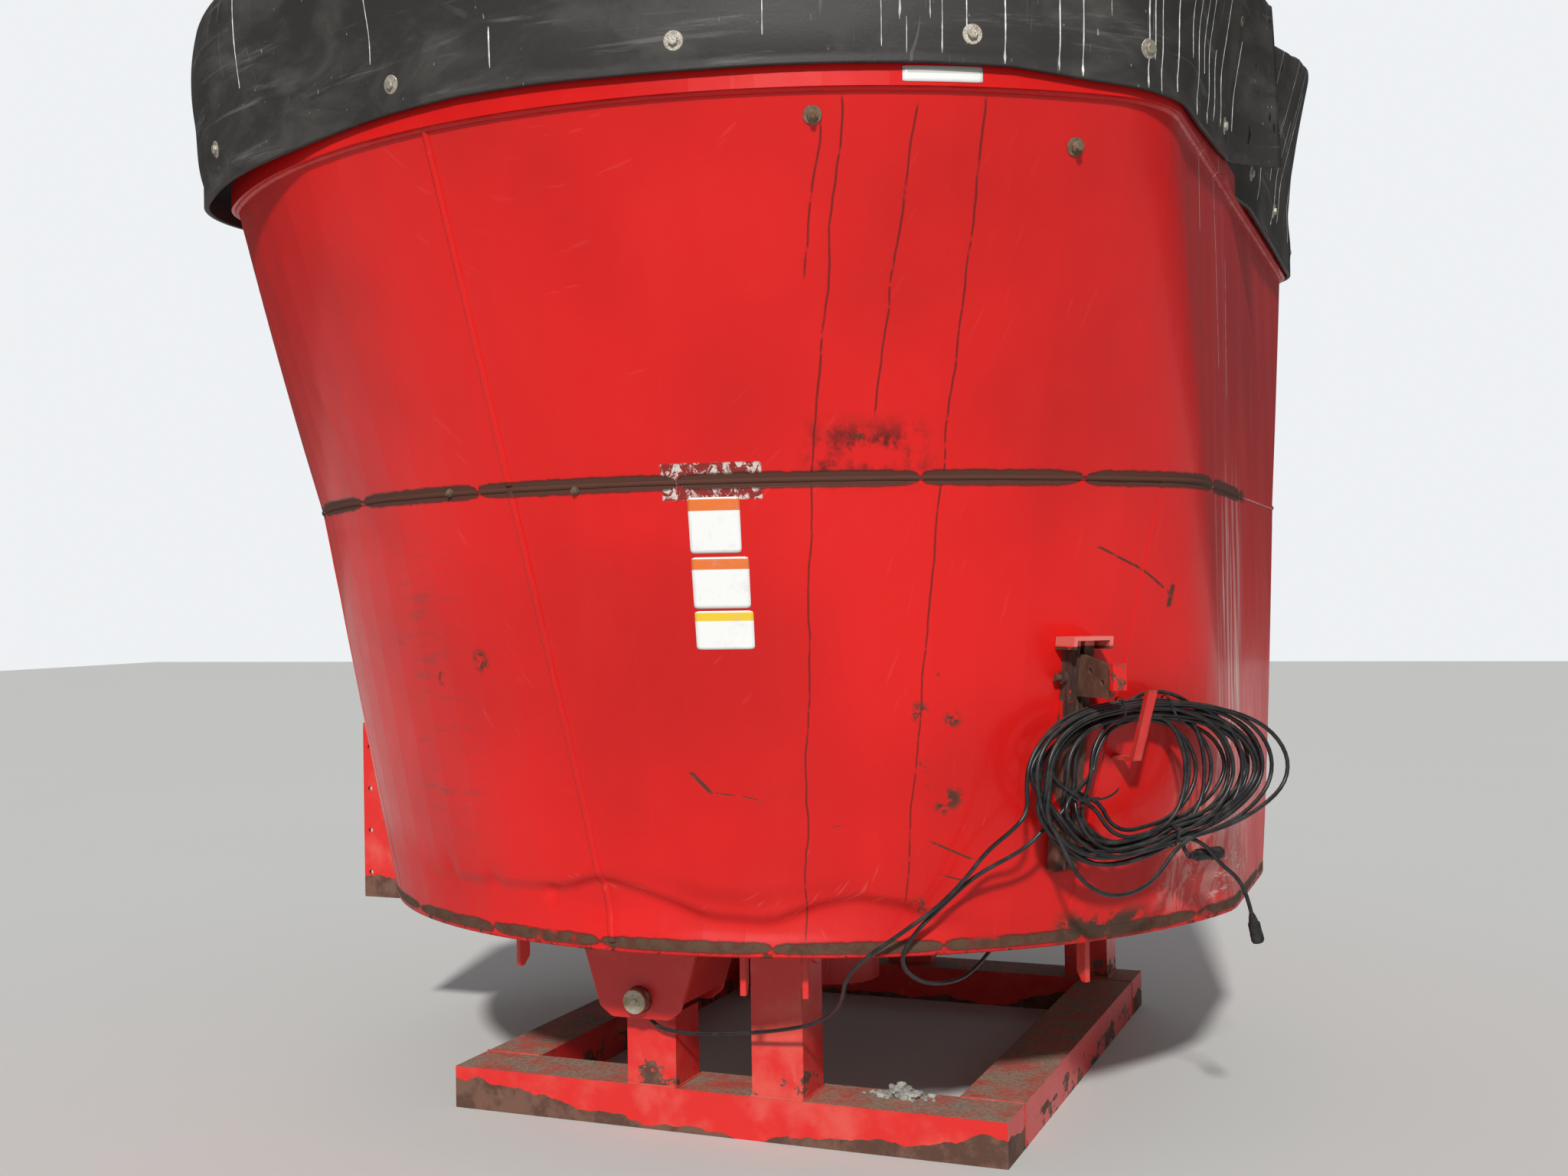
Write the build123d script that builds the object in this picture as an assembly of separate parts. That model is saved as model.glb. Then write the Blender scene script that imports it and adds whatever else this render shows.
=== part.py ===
from build123d import *
from math import asin, atan2, cos, degrees, pi, radians, sin, sqrt, tan
import os

# Stationary vertical feed mixer: a steel tub with two flat sides stands on weigh bars over a
# skid of rectangular tube. Millimetres. The origin is on the floor, under the auger's axis.
# +Z is up, -Y is the front beam's side, -X is the side of the discharge door.

# Skid
skid_width = 1400.0
skid_length = 1580.0
tube_wide = 152.4
tube_tall = 101.6
tube_wall = 6.35
post_size = 127.0
post_wall = 6.35
post_inset = 4.0
stay_gap = 12.0
front_post_x = 160.0
rear_post_x = 560.0

# Tub
floor_low = 498.0
floor_thick = 12.0
seam_z = 1480.0
rim_z = 2190.0
side_half = 1122.0
floor_r = side_half + 36.0
seam_r = side_half + 210.0
rim_r = side_half + 418.0
wall = 8.0
corner_bend = 250.0
split_past_bend = 20.0
band_tall = 55.0
band_out = 14.0
strip_tall = 80.0

# Rubber ring
rubber_tall = 450.0
rubber_thick = 12.0
rubber_flare = 90.0
rubber_gap = 0.3
belt_split_y = 200.0
flap_end_y = -190.0
flap_long = 190.0
flap_low_curl = 119.0
flap_top_curl = 6.0
lap_start_y = -300.0
rear_top_in = 50.0
rear_low_bulge = 3.0
rear_top_bulge = 90.0

# Weigh bars and their brackets
bar_r = 28.5
bar_length = 300.0
bar_z = 318.0
plate_thick = 10.0
bracket_top_half = 140.0
bracket_low_half = 82.0
bracket_low_z = 212.0
bracket_inside = 222.0
notch_wide = 50.0
notch_deep = 26.0
saddle_under = 14.0
saddle_wide = 90.0
saddle_long = 110.0
seat_gap = 0.3

# Floor ribs
rib_thick = 12.0
rib_deep = 60.0
rib_start_r = 250.0
rib_end_r = floor_r - 118.0
rib_tip = 160.0
rib_tip_low = 12.0
rib_spread = 82.0

# Discharge door
door_y = 40.0
door_half = 330.0
door_tall = 400.0
door_thick = 10.0
door_lap = 22.0
door_gap = 0.3
door_travel = 390.0
chute_reach = 194.0
chute_low_z = 407.0
chute_top_z = 905.0
chute_plate = 10.0
track_thick = 8.0
head_plate_tall = 110.0
bolt_hole_r = 7.0
flange_bolt_pitch = 120.0
flange_bolt_count = 4

# Door cylinder
barrel_r = 35.0
barrel_tall = 500.0
rod_r = 16.0
eye_r = 26.0
pin_r = 12.5
cylinder_out = 62.0
rod_closed_z = 960.0

# Restrictor
stop_turn = 2.65
stop_low_z = 668.0
stop_top_z = 1150.0
stop_inner_r = floor_r - 96.0
blade_thick = 10.0
blade_gap = 3.0
sleeve_wide = 54.0
sleeve_reach = 32.0
wall_clear = 0.3
guide_gap = 0.3
cap_wide = 92.0
cap_thick = 8.0
cap_lip = 18.0
cap_reach = 72.0
pin_stand = 24.0
clamp_bolt_r = 7.0
clamp_nut_r = 13.0
clamp_nut_thick = 10.0
blade_travel = 118.0
blade_under_hood = 28.0
slot_depth = 200.0
slot_below = 8.0
slot_above = 8.0
blade_set_in = 6.0
tab_holes = (
    # from the tab's outer edge, down from the blade's top
    (44.0, 56.0),
    (88.0, 34.0),
)
tab_tall = 87.0
tab_reach = 124.0
tab_drop = 24.0
tab_hole_r = 7.0
grip_half = 16.0
grip_thick = 12.0

# Cable hook
hook_turn = 6.0
hook_z = 905.0
hook_out = 66.0
hook_rise = 140.0
hook_wide = 24.0
hook_lean = 55.0
hook_thick = 10.0

# Drive
gear_r = 205.0
gear_tall = 150.0
hub_r = 150.0
shaft_z = 300.0
shaft_r = 22.5
stub_r = 17.5
stub_long = 150.0
shaft_end_y = 905.0
carrier_y = 714.0
shaft_clear = 0.05

# Auger
core_low_r = 230.0
core_top_r = 110.0
core_top_z = 1700.0
core_wall = 10.0
flange_thick = 16.0
flight_thick = 12.0
flight_turns = 2.25
flight_step = 22.5
flight_low_z = 545.0
flight_top_z = 1640.0
flight_low_r = floor_r - 133.0
flight_top_r = 330.0
knife_long = 190.0
knife_wide = 95.0
knife_thick = 8.0
knife_count = 8
knife_first = 0.06
knife_step = 0.1
knife_seat = 1.05
knife_tip_r = floor_r - 128.0

# Cables
cable_r = 4.5
plug_r = 14.0
plug_long = 62.0
lying_long = 84.0
lead_gap = 1.6
hank_z = 861.0
hank_gap = 0.3
near_across = 35.0
near_wide = 300.0
near_high = 145.0
near_bundle = 20.0
far_across = -5.0
far_wide = 150.0
far_bundle = 18.0

parts = {}
big = 3000.0


def ring_r(z):
    """Outer radius of the round part of the tub at height z."""
    if z <= seam_z:
        return floor_r + (seam_r - floor_r) * (z - floor_low) / (seam_z - floor_low)
    return seam_r + (rim_r - seam_r) * (z - seam_z) / (rim_z - seam_z)


def bend_start(radius, half, bend):
    """Distance along Y at which a rolled corner leaves the flat side."""
    return sqrt((radius - bend) ** 2 - (half - bend) ** 2)


def bend_end(radius, half, bend):
    """Point at which a rolled corner runs into the round part."""
    angle = atan2(bend_start(radius, half, bend), half - bend)
    return radius * cos(angle), radius * sin(angle)


def tub_block(low_z, top_z, low_r, top_r, half):
    """Solid round cone between two heights, cut flat on both sides, with rolled corners."""
    profile = Polyline((0, low_z), (low_r, low_z), (top_r, top_z), (0, top_z), close=True)
    cone = revolve(Plane.XZ * make_face(profile), Axis.Z)
    block = cone & box(-half, half, -big, big, low_z, top_z)
    corners = block.edges().filter_by(lambda edge: edge.bounding_box().size.Z > 0.9 * (top_z - low_z))
    return fillet(corners, corner_bend + half - side_half)


def tub_ring(low_z, top_z, low_r, top_r, half, thick):
    """Wall of that shape, open above and below."""
    outer = tub_block(low_z, top_z, low_r, top_r, half)
    return outer - tub_block(low_z, top_z, low_r - thick, top_r - thick, half - thick)


def box(x0, x1, y0, y1, z0, z1):
    """Box between two corners."""
    size = Box(x1 - x0, y1 - y0, z1 - z0, align=(Align.MIN, Align.MIN, Align.MIN))
    return Pos(x0, y0, z0) * size


def tube(x0, x1, y0, y1, z0, z1, wall_thick, along):
    """Rectangular tube, open at both ends of the axis it runs along."""
    inset = {"x": (0, 1, 1), "y": (1, 0, 1), "z": (1, 1, 0)}[along]
    dx, dy, dz = (wall_thick * side for side in inset)
    return box(x0, x1, y0, y1, z0, z1) - box(x0 + dx, x1 - dx, y0 + dy, y1 - dy, z0 + dz, z1 - dz)


def rod(start, end, radius):
    """Round bar from one point to another."""
    line = Vector(*end) - Vector(*start)
    plane = Plane(origin=start, z_dir=line)
    return plane * Cylinder(radius, line.length, align=(Align.CENTER, Align.CENTER, Align.MIN))


def put(name, shape):
    """Keep a named piece."""
    parts[name] = shape


# Skid
front_y = -skid_length / 2
rear_y = skid_length / 2
half_w = skid_width / 2
inner_front = front_y + tube_wide
inner_rear = rear_y - tube_wide

for name, y0, y1 in (("front_beam", front_y, inner_front), ("rear_beam", inner_rear, rear_y)):
    beam = tube(-half_w, half_w, y0, y1, 0, tube_tall, tube_wall, "x")
    for side in (-1, 1):
        x0, x1 = sorted((side * half_w, side * (half_w - tube_wall)))
        beam += box(x0, x1, y0, y1, 0, tube_tall)
    put(name, beam)
for name, side in (("left_rail", -1), ("right_rail", 1)):
    x0, x1 = sorted((side * half_w, side * (half_w - tube_wide)))
    put(name, tube(x0, x1, inner_front, inner_rear, 0, tube_tall, tube_wall, "y"))

# Posts with their caps, and the saddles that carry the weigh bars
saddle_low = bar_z - bar_r - saddle_under
post_top = saddle_low
rib_low = floor_low - rib_deep
front_post_y = front_y + post_inset + post_size / 2
rear_post_y = rear_y - post_inset - post_size / 2
bar_posts = (
    # name, x, y
    ("front", -front_post_x, front_post_y),
    ("rear_left", -rear_post_x, rear_post_y),
    ("rear_right", rear_post_x, rear_post_y),
)


def post(x, y, top):
    """Square post with a closed top."""
    half = post_size / 2
    shaft = tube(x - half, x + half, y - half, y + half, tube_tall, top, post_wall, "z")
    return shaft + box(x - half, x + half, y - half, y + half, top - post_wall, top)


put("stay_post", post(front_post_x, front_post_y, rib_low - stay_gap))
for name, x, y in bar_posts:
    put(name + "_post", post(x, y, post_top))
saddles = []
bars = []
for name, x, y in bar_posts:
    seat = box(x - saddle_wide / 2, x + saddle_wide / 2, y - saddle_long / 2, y + saddle_long / 2, post_top, bar_z)
    seat -= rod((x, y - saddle_long, bar_z), (x, y + saddle_long, bar_z), bar_r + seat_gap)
    saddles.append(seat)
    bars.append(rod((x, y - bar_length / 2, bar_z), (x, y + bar_length / 2, bar_z), bar_r))
put("bar_saddles", Compound(children=saddles))
put("weigh_bars", Compound(children=bars))


def bracket(x, y):
    """Hanging bracket: two trapezoid plates joined by two side plates, round one post top."""
    outline = Polyline(
        (-bracket_top_half, floor_low),
        (-bracket_low_half, bracket_low_z),
        (-notch_wide / 2, bracket_low_z),
        (-notch_wide / 2 + 6, bracket_low_z + notch_deep),
        (notch_wide / 2 - 6, bracket_low_z + notch_deep),
        (notch_wide / 2, bracket_low_z),
        (bracket_low_half, bracket_low_z),
        (bracket_top_half, floor_low),
        close=True,
    )
    face = make_face(outline)
    cut = Pos(0, bar_z) * Circle(bar_r + seat_gap)
    plate = extrude(Plane.XZ * (face - cut), amount=plate_thick)
    joined = Pos(x, y - bracket_inside / 2, 0) * plate
    joined += Pos(x, y + bracket_inside / 2 + plate_thick, 0) * plate
    slope = (bracket_top_half - bracket_low_half) / (floor_low - bracket_low_z)
    low = bracket_low_z + 70
    low_x = bracket_low_half + slope * 70
    for side in (-1, 1):
        web = Polyline(
            (side * bracket_top_half, floor_low),
            (side * low_x, low),
            (side * (low_x - plate_thick), low),
            (side * (bracket_top_half - plate_thick), floor_low),
            close=True,
        )
        joined += Pos(x, y + bracket_inside / 2, 0) * extrude(Plane.XZ * make_face(web), amount=bracket_inside)
    return joined


for name, x, y in bar_posts:
    put(name + "_bracket", bracket(x, y))

# Stay lugs either side of the stay post
lugs = []
for side in (-1, 1):
    x = front_post_x + side * rib_spread
    profile = Polyline(
        (front_y + 20, floor_low),
        (front_y + 20, floor_low - 78),
        (front_y + 50, floor_low - 92),
        (front_y + 170, floor_low - 30),
        (front_y + 170, floor_low),
        close=True,
    )
    face = Plane(origin=(x - rib_thick / 2, 0, 0), x_dir=(0, 1, 0), z_dir=(1, 0, 0)) * make_face(profile)
    lugs.append(extrude(face, amount=rib_thick))
put("stay_lugs", Compound(children=lugs))

# Tub floor and the radial ribs under it
floor_top = floor_low + floor_thick
floor_half = side_half - wall
floor_plate = tub_block(floor_low, seam_z, floor_r - wall, seam_r - wall, floor_half)
floor_plate &= box(-big, big, -big, big, floor_low, floor_top)
floor_plate -= Pos(0, 0, floor_low - 5) * Cylinder(
    hub_r + 2, floor_thick + 10, align=(Align.CENTER, Align.CENTER, Align.MIN)
)
put("tub_floor", floor_plate)

ribs = []
for angle in (0, 28, 90, 152, 180, 212, 328):
    rib = box(rib_start_r, rib_end_r, -rib_thick / 2, rib_thick / 2, floor_low - rib_deep, floor_low)
    tip = Polyline(
        (rib_end_r - rib_tip, floor_low - rib_deep - 1),
        (rib_end_r + 1, floor_low - rib_deep - 1),
        (rib_end_r + 1, floor_low - rib_tip_low),
        close=True,
    )
    rib -= Pos(0, rib_thick, 0) * extrude(Plane.XZ * make_face(tip), amount=2 * rib_thick)
    ribs.append(Rot(0, 0, angle) * rib)
put("floor_ribs", Compound(children=ribs))

# Tub walls: two courses, each in four panels that meet at the weld seams
courses = (
    # name, low z, top z, low radius, top radius, split y
    ("lower", floor_low, seam_z, floor_r, seam_r, bend_end(seam_r, side_half, corner_bend)[1] + split_past_bend),
    ("upper", seam_z, rim_z, seam_r, rim_r, bend_end(rim_r, side_half, corner_bend)[1] + split_past_bend),
)
lower_split = courses[0][5]
slot_low_z = stop_low_z - slot_below
slot_top_z = stop_top_z - blade_under_hood + slot_above
stop_angle = -round(degrees(asin(lower_split / ring_r(slot_low_z))) + stop_turn, 1)
hook_angle = stop_angle + hook_turn
slot_half = blade_thick / 2 + blade_gap
slot_in = ring_r(stop_low_z) - slot_depth
slot_out = ring_r(stop_top_z) + slot_depth
slot = box(slot_in, slot_out, -slot_half, slot_half, slot_low_z, slot_top_z)
slot = Rot(0, 0, stop_angle) * slot
door_hole_top = floor_top + door_tall - door_lap
doorway = box(
    -side_half - 50,
    -side_half + 260,
    door_y - door_half + door_lap,
    door_y + door_half - door_lap,
    floor_top,
    door_hole_top,
)
for name, low_z, top_z, low_r, top_r, split in courses:
    ring = tub_ring(low_z, top_z, low_r, top_r, side_half, wall)
    regions = (
        # name, x0, x1, y0, y1
        ("front", -big, big, -big, -split),
        ("rear", -big, big, split, big),
        ("left", -big, 0, -split, split),
        ("right", 0, big, -split, split),
    )
    for region, x0, x1, y0, y1 in regions:
        panel = ring & box(x0, x1, y0, y1, low_z, top_z)
        if (name, region) == ("lower", "left"):
            panel -= doorway
        if (name, region) == ("lower", "front"):
            panel -= slot
        put(f"{region}_{name}_wall", panel)

# Rolled band round the rim, with the upright strip that the rubber is bolted to
band = tub_ring(rim_z, rim_z + band_tall, rim_r + band_out, rim_r + band_out, side_half + band_out, wall + band_out)
strip_top = rim_z + band_tall + strip_tall
band += tub_ring(rim_z + band_tall, strip_top, rim_r, rim_r, side_half, wall)
put("rim_band", band)

# Rubber ring in two belts. The rear one starts behind the free end of the front one.
rubber_low = rim_z + band_tall + rubber_gap
rubber_top = rubber_low + rubber_tall


def belt_corner(radius, half, side_x, side_y):
    """Ends of one rolled corner, on the flat side and on the round, and the corner's middle point."""
    y = bend_start(radius, half, corner_bend)
    end_x, end_y = bend_end(radius, half, corner_bend)
    middle = atan2(y, half - corner_bend) / 2
    mid_x = half - corner_bend + corner_bend * cos(middle)
    mid_y = y + corner_bend * sin(middle)
    places = ((half, y), (mid_x, mid_y), (end_x, end_y))
    return [(side_x * px, side_y * py) for px, py in places]


def belt_line(out, flare, side_y, start_y, end_y, right_in, bulge, curl):
    """One face of a belt in plan, from the left side round the front or the rear to the right side."""
    radius = rim_r + rubber_gap + out + flare
    left = side_half + rubber_gap + out + flare
    right = left - right_in
    first = belt_corner(radius, left, -1, side_y)
    last = belt_corner(radius, right, 1, side_y)
    edges = [Line((-left, start_y), first[0]), ThreePointArc(*first)]
    edges.append(ThreePointArc(first[2], (0, side_y * radius), last[2]))
    edges.append(ThreePointArc(last[2], last[1], last[0]))
    if curl:
        edges.append(Line(last[0], (right, end_y - flap_long)))
        edges.append(ThreePointArc((right, end_y - flap_long), (right + curl * 0.26, end_y - flap_long / 2), (right + curl, end_y)))
    else:
        edges.append(ThreePointArc(last[0], (right + bulge, (last[0][1] + end_y) / 2), (right, end_y)))
    return edges


def belt(side_y, start_y, end_y, right_in, bulges, curls):
    """Belt ruled from its low edge to its flared top edge."""
    faces = []
    levels = ((rubber_low, 0.0, 0.0), (rubber_top, rubber_flare, right_in))
    for (z, flare, inset), bulge, curl in zip(levels, bulges, curls):
        inner = belt_line(0, flare, side_y, start_y, end_y, inset, bulge, curl)
        outer = belt_line(rubber_thick, flare, side_y, start_y, end_y, inset, bulge, curl)
        caps = [Line(inner[0] @ 0, outer[0] @ 0), Line(inner[-1] @ 1, outer[-1] @ 1)]
        faces.append(Pos(0, 0, z) * make_face(inner + outer + caps))
    return loft(faces, ruled=True)


put("front_belt", belt(-1, belt_split_y, flap_end_y, 0.0, (0, 0), (flap_low_curl, flap_top_curl)))
put("rear_belt", belt(1, belt_split_y + rubber_gap, lap_start_y, rear_top_in, (rear_low_bulge, rear_top_bulge), (0, 0)))

# Discharge door frame: chute side plates, sill, upper plates and the door's tracks
wall_x = -side_half
frame_pieces = []
chute_out = wall_x - chute_reach
for side in (-1, 1):
    inner_y = door_y + side * (door_half + door_gap + 1)
    y0, y1 = sorted((inner_y, inner_y + side * chute_plate))
    plate = box(chute_out, wall_x, y0, y1, chute_low_z, chute_top_z)
    for index in range(flange_bolt_count):
        z = chute_low_z + 70 + index * flange_bolt_pitch
        plate -= rod((chute_out + 22, y0 - 5, z), (chute_out + 22, y1 + 5, z), bolt_hole_r)
    upper = box(chute_out + 60, wall_x, y0, y1, chute_top_z + 6, chute_top_z + 6 + head_plate_tall)
    for z in (chute_top_z + 40, chute_top_z + 85):
        upper -= rod((chute_out + 82, y0 - 5, z), (chute_out + 82, y1 + 5, z), bolt_hole_r)
    frame_pieces.append(plate)
    frame_pieces.append(upper)
inner_low = door_y - door_half - door_gap - 1
inner_high = door_y + door_half + door_gap + 1
sill = box(chute_out, wall_x, inner_low, inner_high, chute_low_z, chute_low_z + chute_plate)
frame_pieces.append(sill)
put("door_frame", Compound(children=frame_pieces))

door_low = floor_top - door_lap
door_top = door_low + door_tall + door_lap
track_top = door_top + door_travel + 10
door_out = wall_x - door_gap - door_thick
tracks = []
for side in (-1, 1):
    edge = door_y + side * (door_half + door_gap)
    inner = door_y + side * (door_half - 24)
    y0, y1 = sorted((edge + side * 0.7, inner))
    lip = box(door_out - door_gap - track_thick, door_out - door_gap, y0, y1, chute_top_z + 130, track_top)
    y2, y3 = sorted((edge, edge + side * 22))
    lip += box(door_out - door_gap - track_thick, wall_x, y2, y3, chute_top_z + 130, track_top)
    tracks.append(lip)
put("door_tracks", Compound(children=tracks))

door = box(door_out, wall_x - door_gap, door_y - door_half, door_y + door_half, door_low, door_top)
for z in (door_low + 90, door_low + 290):
    door += box(door_out - 30, door_out, door_y - door_half + 40, door_y + door_half - 40, z, z + 10)
ear_low = door_top - 60
cyl_x = wall_x - cylinder_out
for side in (-1, 1):
    y0, y1 = sorted((door_y + side * 20, door_y + side * 32))
    door += box(cyl_x - 22, door_out, y0, y1, ear_low, rod_closed_z + 22)
door -= rod((cyl_x, door_y - 40, rod_closed_z), (cyl_x, door_y + 40, rod_closed_z), pin_r)
put("discharge_door", door)

# Door cylinder: the barrel on the wall, the rod on the door
barrel_low = rod_closed_z + 60 + door_travel
barrel_top = barrel_low + barrel_tall
barrel = rod((cyl_x, door_y, barrel_low), (cyl_x, door_y, barrel_top), barrel_r)
barrel -= rod((cyl_x, door_y, barrel_low - 1), (cyl_x, door_y, barrel_top - 40), rod_r + 0.05)
eye_z = barrel_top + eye_r + 4
barrel += rod((cyl_x, door_y - 18, eye_z), (cyl_x, door_y + 18, eye_z), eye_r)
barrel += box(cyl_x - 18, cyl_x + 18, door_y - 18, door_y + 18, barrel_top - 5, eye_z)
barrel -= rod((cyl_x, door_y - 30, eye_z), (cyl_x, door_y + 30, eye_z), pin_r + 0.05)
put("cylinder_barrel", barrel)
bearer = rod((cyl_x, door_y - 40, eye_z), (cyl_x, door_y + 40, eye_z), pin_r)
for side in (-1, 1):
    y0, y1 = sorted((door_y + side * 19, door_y + side * 31))
    bearer += box(cyl_x - 24, wall_x, y0, y1, eye_z - 30, eye_z + 30)
put("cylinder_bracket", bearer)
piston_rod = rod((cyl_x, door_y, rod_closed_z + 10), (cyl_x, door_y, barrel_low + 30), rod_r)
piston_rod += rod((cyl_x, door_y - 18, rod_closed_z), (cyl_x, door_y + 18, rod_closed_z), eye_r)
piston_rod += rod((cyl_x, door_y - 40, rod_closed_z), (cyl_x, door_y + 40, rod_closed_z), pin_r - 0.05)
put("cylinder_rod", piston_rod)

# Restrictor: a blade that slides through a slot, its sleeve, hood and handle
turn = Rot(0, 0, stop_angle)


def sleeve_bar(y0, y1, reach, low_z, top_z):
    """Upright bar that stands on the sloping wall, between two offsets from the blade's plane."""
    cheek = Polyline(
        (ring_r(low_z) + wall_clear, low_z),
        (ring_r(low_z) + reach, low_z),
        (ring_r(top_z) + reach, top_z),
        (ring_r(top_z) + wall_clear, top_z),
        close=True,
    )
    return Pos(0, y1, 0) * extrude(Plane.XZ * make_face(cheek), amount=y1 - y0)


guide_half = blade_thick / 2 + guide_gap
sleeve = sleeve_bar(guide_half, sleeve_wide / 2, sleeve_reach, stop_low_z, stop_top_z)
sleeve += sleeve_bar(-sleeve_wide / 2, -guide_half, sleeve_reach, stop_low_z, stop_top_z)
sleeve += sleeve_bar(-cap_wide / 2, cap_wide / 2, cap_reach, stop_top_z, stop_top_z + cap_thick)
for side in (-1, 1):
    y0, y1 = sorted((side * cap_wide / 2, side * (cap_wide / 2 - cap_thick)))
    sleeve += sleeve_bar(y0, y1, cap_reach, stop_top_z - cap_lip, stop_top_z)
pin_z = stop_top_z - 76
pin_x = ring_r(pin_z) + sleeve_reach / 2
sleeve += rod((pin_x, -sleeve_wide / 2 - pin_stand, pin_z), (pin_x, -guide_half - 1, pin_z), clamp_bolt_r)
nut_out = -sleeve_wide / 2 - clamp_nut_thick
sleeve += rod((pin_x, nut_out, pin_z), (pin_x, -sleeve_wide / 2, pin_z), clamp_nut_r)
put("restrictor_sleeve", turn * sleeve)

blade_low = stop_low_z
blade_top = stop_top_z - blade_under_hood
tab_low = blade_top - tab_tall
rest_inner_r = stop_inner_r + blade_travel
tab_out = ring_r(blade_top) + sleeve_reach + tab_reach
blade_line = Polyline(
    (rest_inner_r, blade_low),
    (ring_r(blade_low) + sleeve_reach - blade_set_in, blade_low),
    (ring_r(tab_low) + sleeve_reach - blade_set_in, tab_low),
    (tab_out - tab_drop, tab_low),
    (tab_out, tab_low + tab_drop),
    (tab_out, blade_top - tab_drop),
    (ring_r(blade_top) + sleeve_reach, blade_top),
    (rest_inner_r, blade_top),
    close=True,
)
blade = Pos(0, blade_thick / 2, 0) * extrude(Plane.XZ * make_face(blade_line), amount=blade_thick)
for hole_in, hole_down in tab_holes:
    hole_x = tab_out - hole_in
    hole_z = blade_top - hole_down
    blade -= rod((hole_x, -blade_thick, hole_z), (hole_x, blade_thick, hole_z), tab_hole_r)
grip_low = tab_low + tab_drop - 6
blade += box(tab_out, tab_out + grip_thick, -grip_half, grip_half, grip_low, blade_top - tab_drop + 8)
put("restrictor_blade", turn * blade)

# Hook for the cables: a flat bar bent out from the wall and up
hook_root = ring_r(hook_z)
hook_line = Polyline(
    (ring_r(hook_z - hook_thick) + wall_clear, hook_z - hook_thick),
    (hook_root + hook_out, hook_z - hook_thick),
    (hook_root + hook_out + hook_lean, hook_z + hook_rise),
    (hook_root + hook_out + hook_lean - hook_thick, hook_z + hook_rise),
    (hook_root + hook_out - hook_thick, hook_z - hook_thick / 4),
    (ring_r(hook_z) + wall_clear, hook_z - hook_thick / 4),
    close=True,
)
hook = Pos(0, hook_wide / 2, 0) * extrude(Plane.XZ * make_face(hook_line), amount=hook_wide)
put("cable_hook", Rot(0, 0, hook_angle) * hook)

# Planetary gearbox under the floor, its input shaft and the bearing carrier
gearbox = Pos(0, 0, floor_low - gear_tall) * Cylinder(gear_r, gear_tall, align=(Align.CENTER, Align.CENTER, Align.MIN))
gearbox += Pos(0, 0, floor_low) * Cylinder(hub_r, floor_thick + 6, align=(Align.CENTER, Align.CENTER, Align.MIN))
gearbox += Pos(0, 0, shaft_z - 90) * Cylinder(130, floor_low - gear_tall - shaft_z + 90, align=(Align.CENTER, Align.CENTER, Align.MIN))
gearbox += rod((0, 0, shaft_z), (0, 230, shaft_z), 80)
gearbox -= rod((0, 150, shaft_z), (0, 240, shaft_z), shaft_r + shaft_clear)
put("gearbox", gearbox)
stub_y = shaft_end_y - stub_long
input_shaft = rod((0, 155, shaft_z), (0, stub_y, shaft_z), shaft_r)
input_shaft += rod((0, stub_y, shaft_z), (0, shaft_end_y, shaft_z), stub_r)
put("input_shaft", input_shaft)
carrier = box(-70, 70, carrier_y - 25, carrier_y + 25, tube_tall, shaft_z)
carrier += rod((0, carrier_y - 30, shaft_z), (0, carrier_y + 30, shaft_z), 48)
carrier -= box(-38, 38, carrier_y - 40, carrier_y + 40, tube_tall + 30, shaft_z - 66)
carrier -= rod((0, carrier_y - 60, shaft_z), (0, carrier_y + 60, shaft_z), shaft_r + shaft_clear)
put("shaft_carrier", carrier)

# Auger: flange, core, flighting and knives
hub_top = floor_top + 6
flange_low = hub_top + 0.3
core_low = flange_low + flange_thick
flange = Pos(0, 0, flange_low) * Cylinder(core_low_r + 20, flange_thick, align=(Align.CENTER, Align.CENTER, Align.MIN))
core_line = Polyline((0, core_low), (core_low_r, core_low), (core_top_r, core_top_z), (0, core_top_z), close=True)
core = revolve(Plane.XZ * make_face(core_line), Axis.Z)
hollow_line = Polyline(
    (0, core_low),
    (core_low_r - core_wall, core_low),
    (core_top_r - core_wall, core_top_z - core_wall),
    (0, core_top_z - core_wall),
    close=True,
)
hollow = revolve(Plane.XZ * make_face(hollow_line), Axis.Z)
put("auger_core", flange + (core - hollow))


def core_r(z):
    """Radius of the core at height z."""
    return core_low_r + (core_top_r - core_low_r) * (z - core_low) / (core_top_z - core_low)


def flight_r(share):
    """Outer radius of the flighting, from 0 at its foot to 1 at its top."""
    if share < 0.2:
        return flight_low_r
    step = (share - 0.2) / 0.8
    return flight_low_r + (flight_top_r - flight_low_r) * step ** 0.8


def flight_section(share):
    """Upright radial strip of the flighting."""
    angle = share * flight_turns * 360
    z = flight_low_z + (flight_top_z - flight_low_z) * share
    inner = core_r(z) - 10
    outer = flight_r(share)
    ray = Vector(cos(radians(angle)), sin(radians(angle)), 0)
    low = Vector(0, 0, z)
    top = Vector(0, 0, z + flight_thick)
    return Wire.make_polygon([low + ray * inner, low + ray * outer, top + ray * outer, top + ray * inner])


steps = int(flight_turns * 360 / flight_step)
sections = [flight_section(index / steps) for index in range(steps + 1)]
flighting = Solid.make_loft(sections, ruled=True)
put("flighting", flighting - core)

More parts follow.
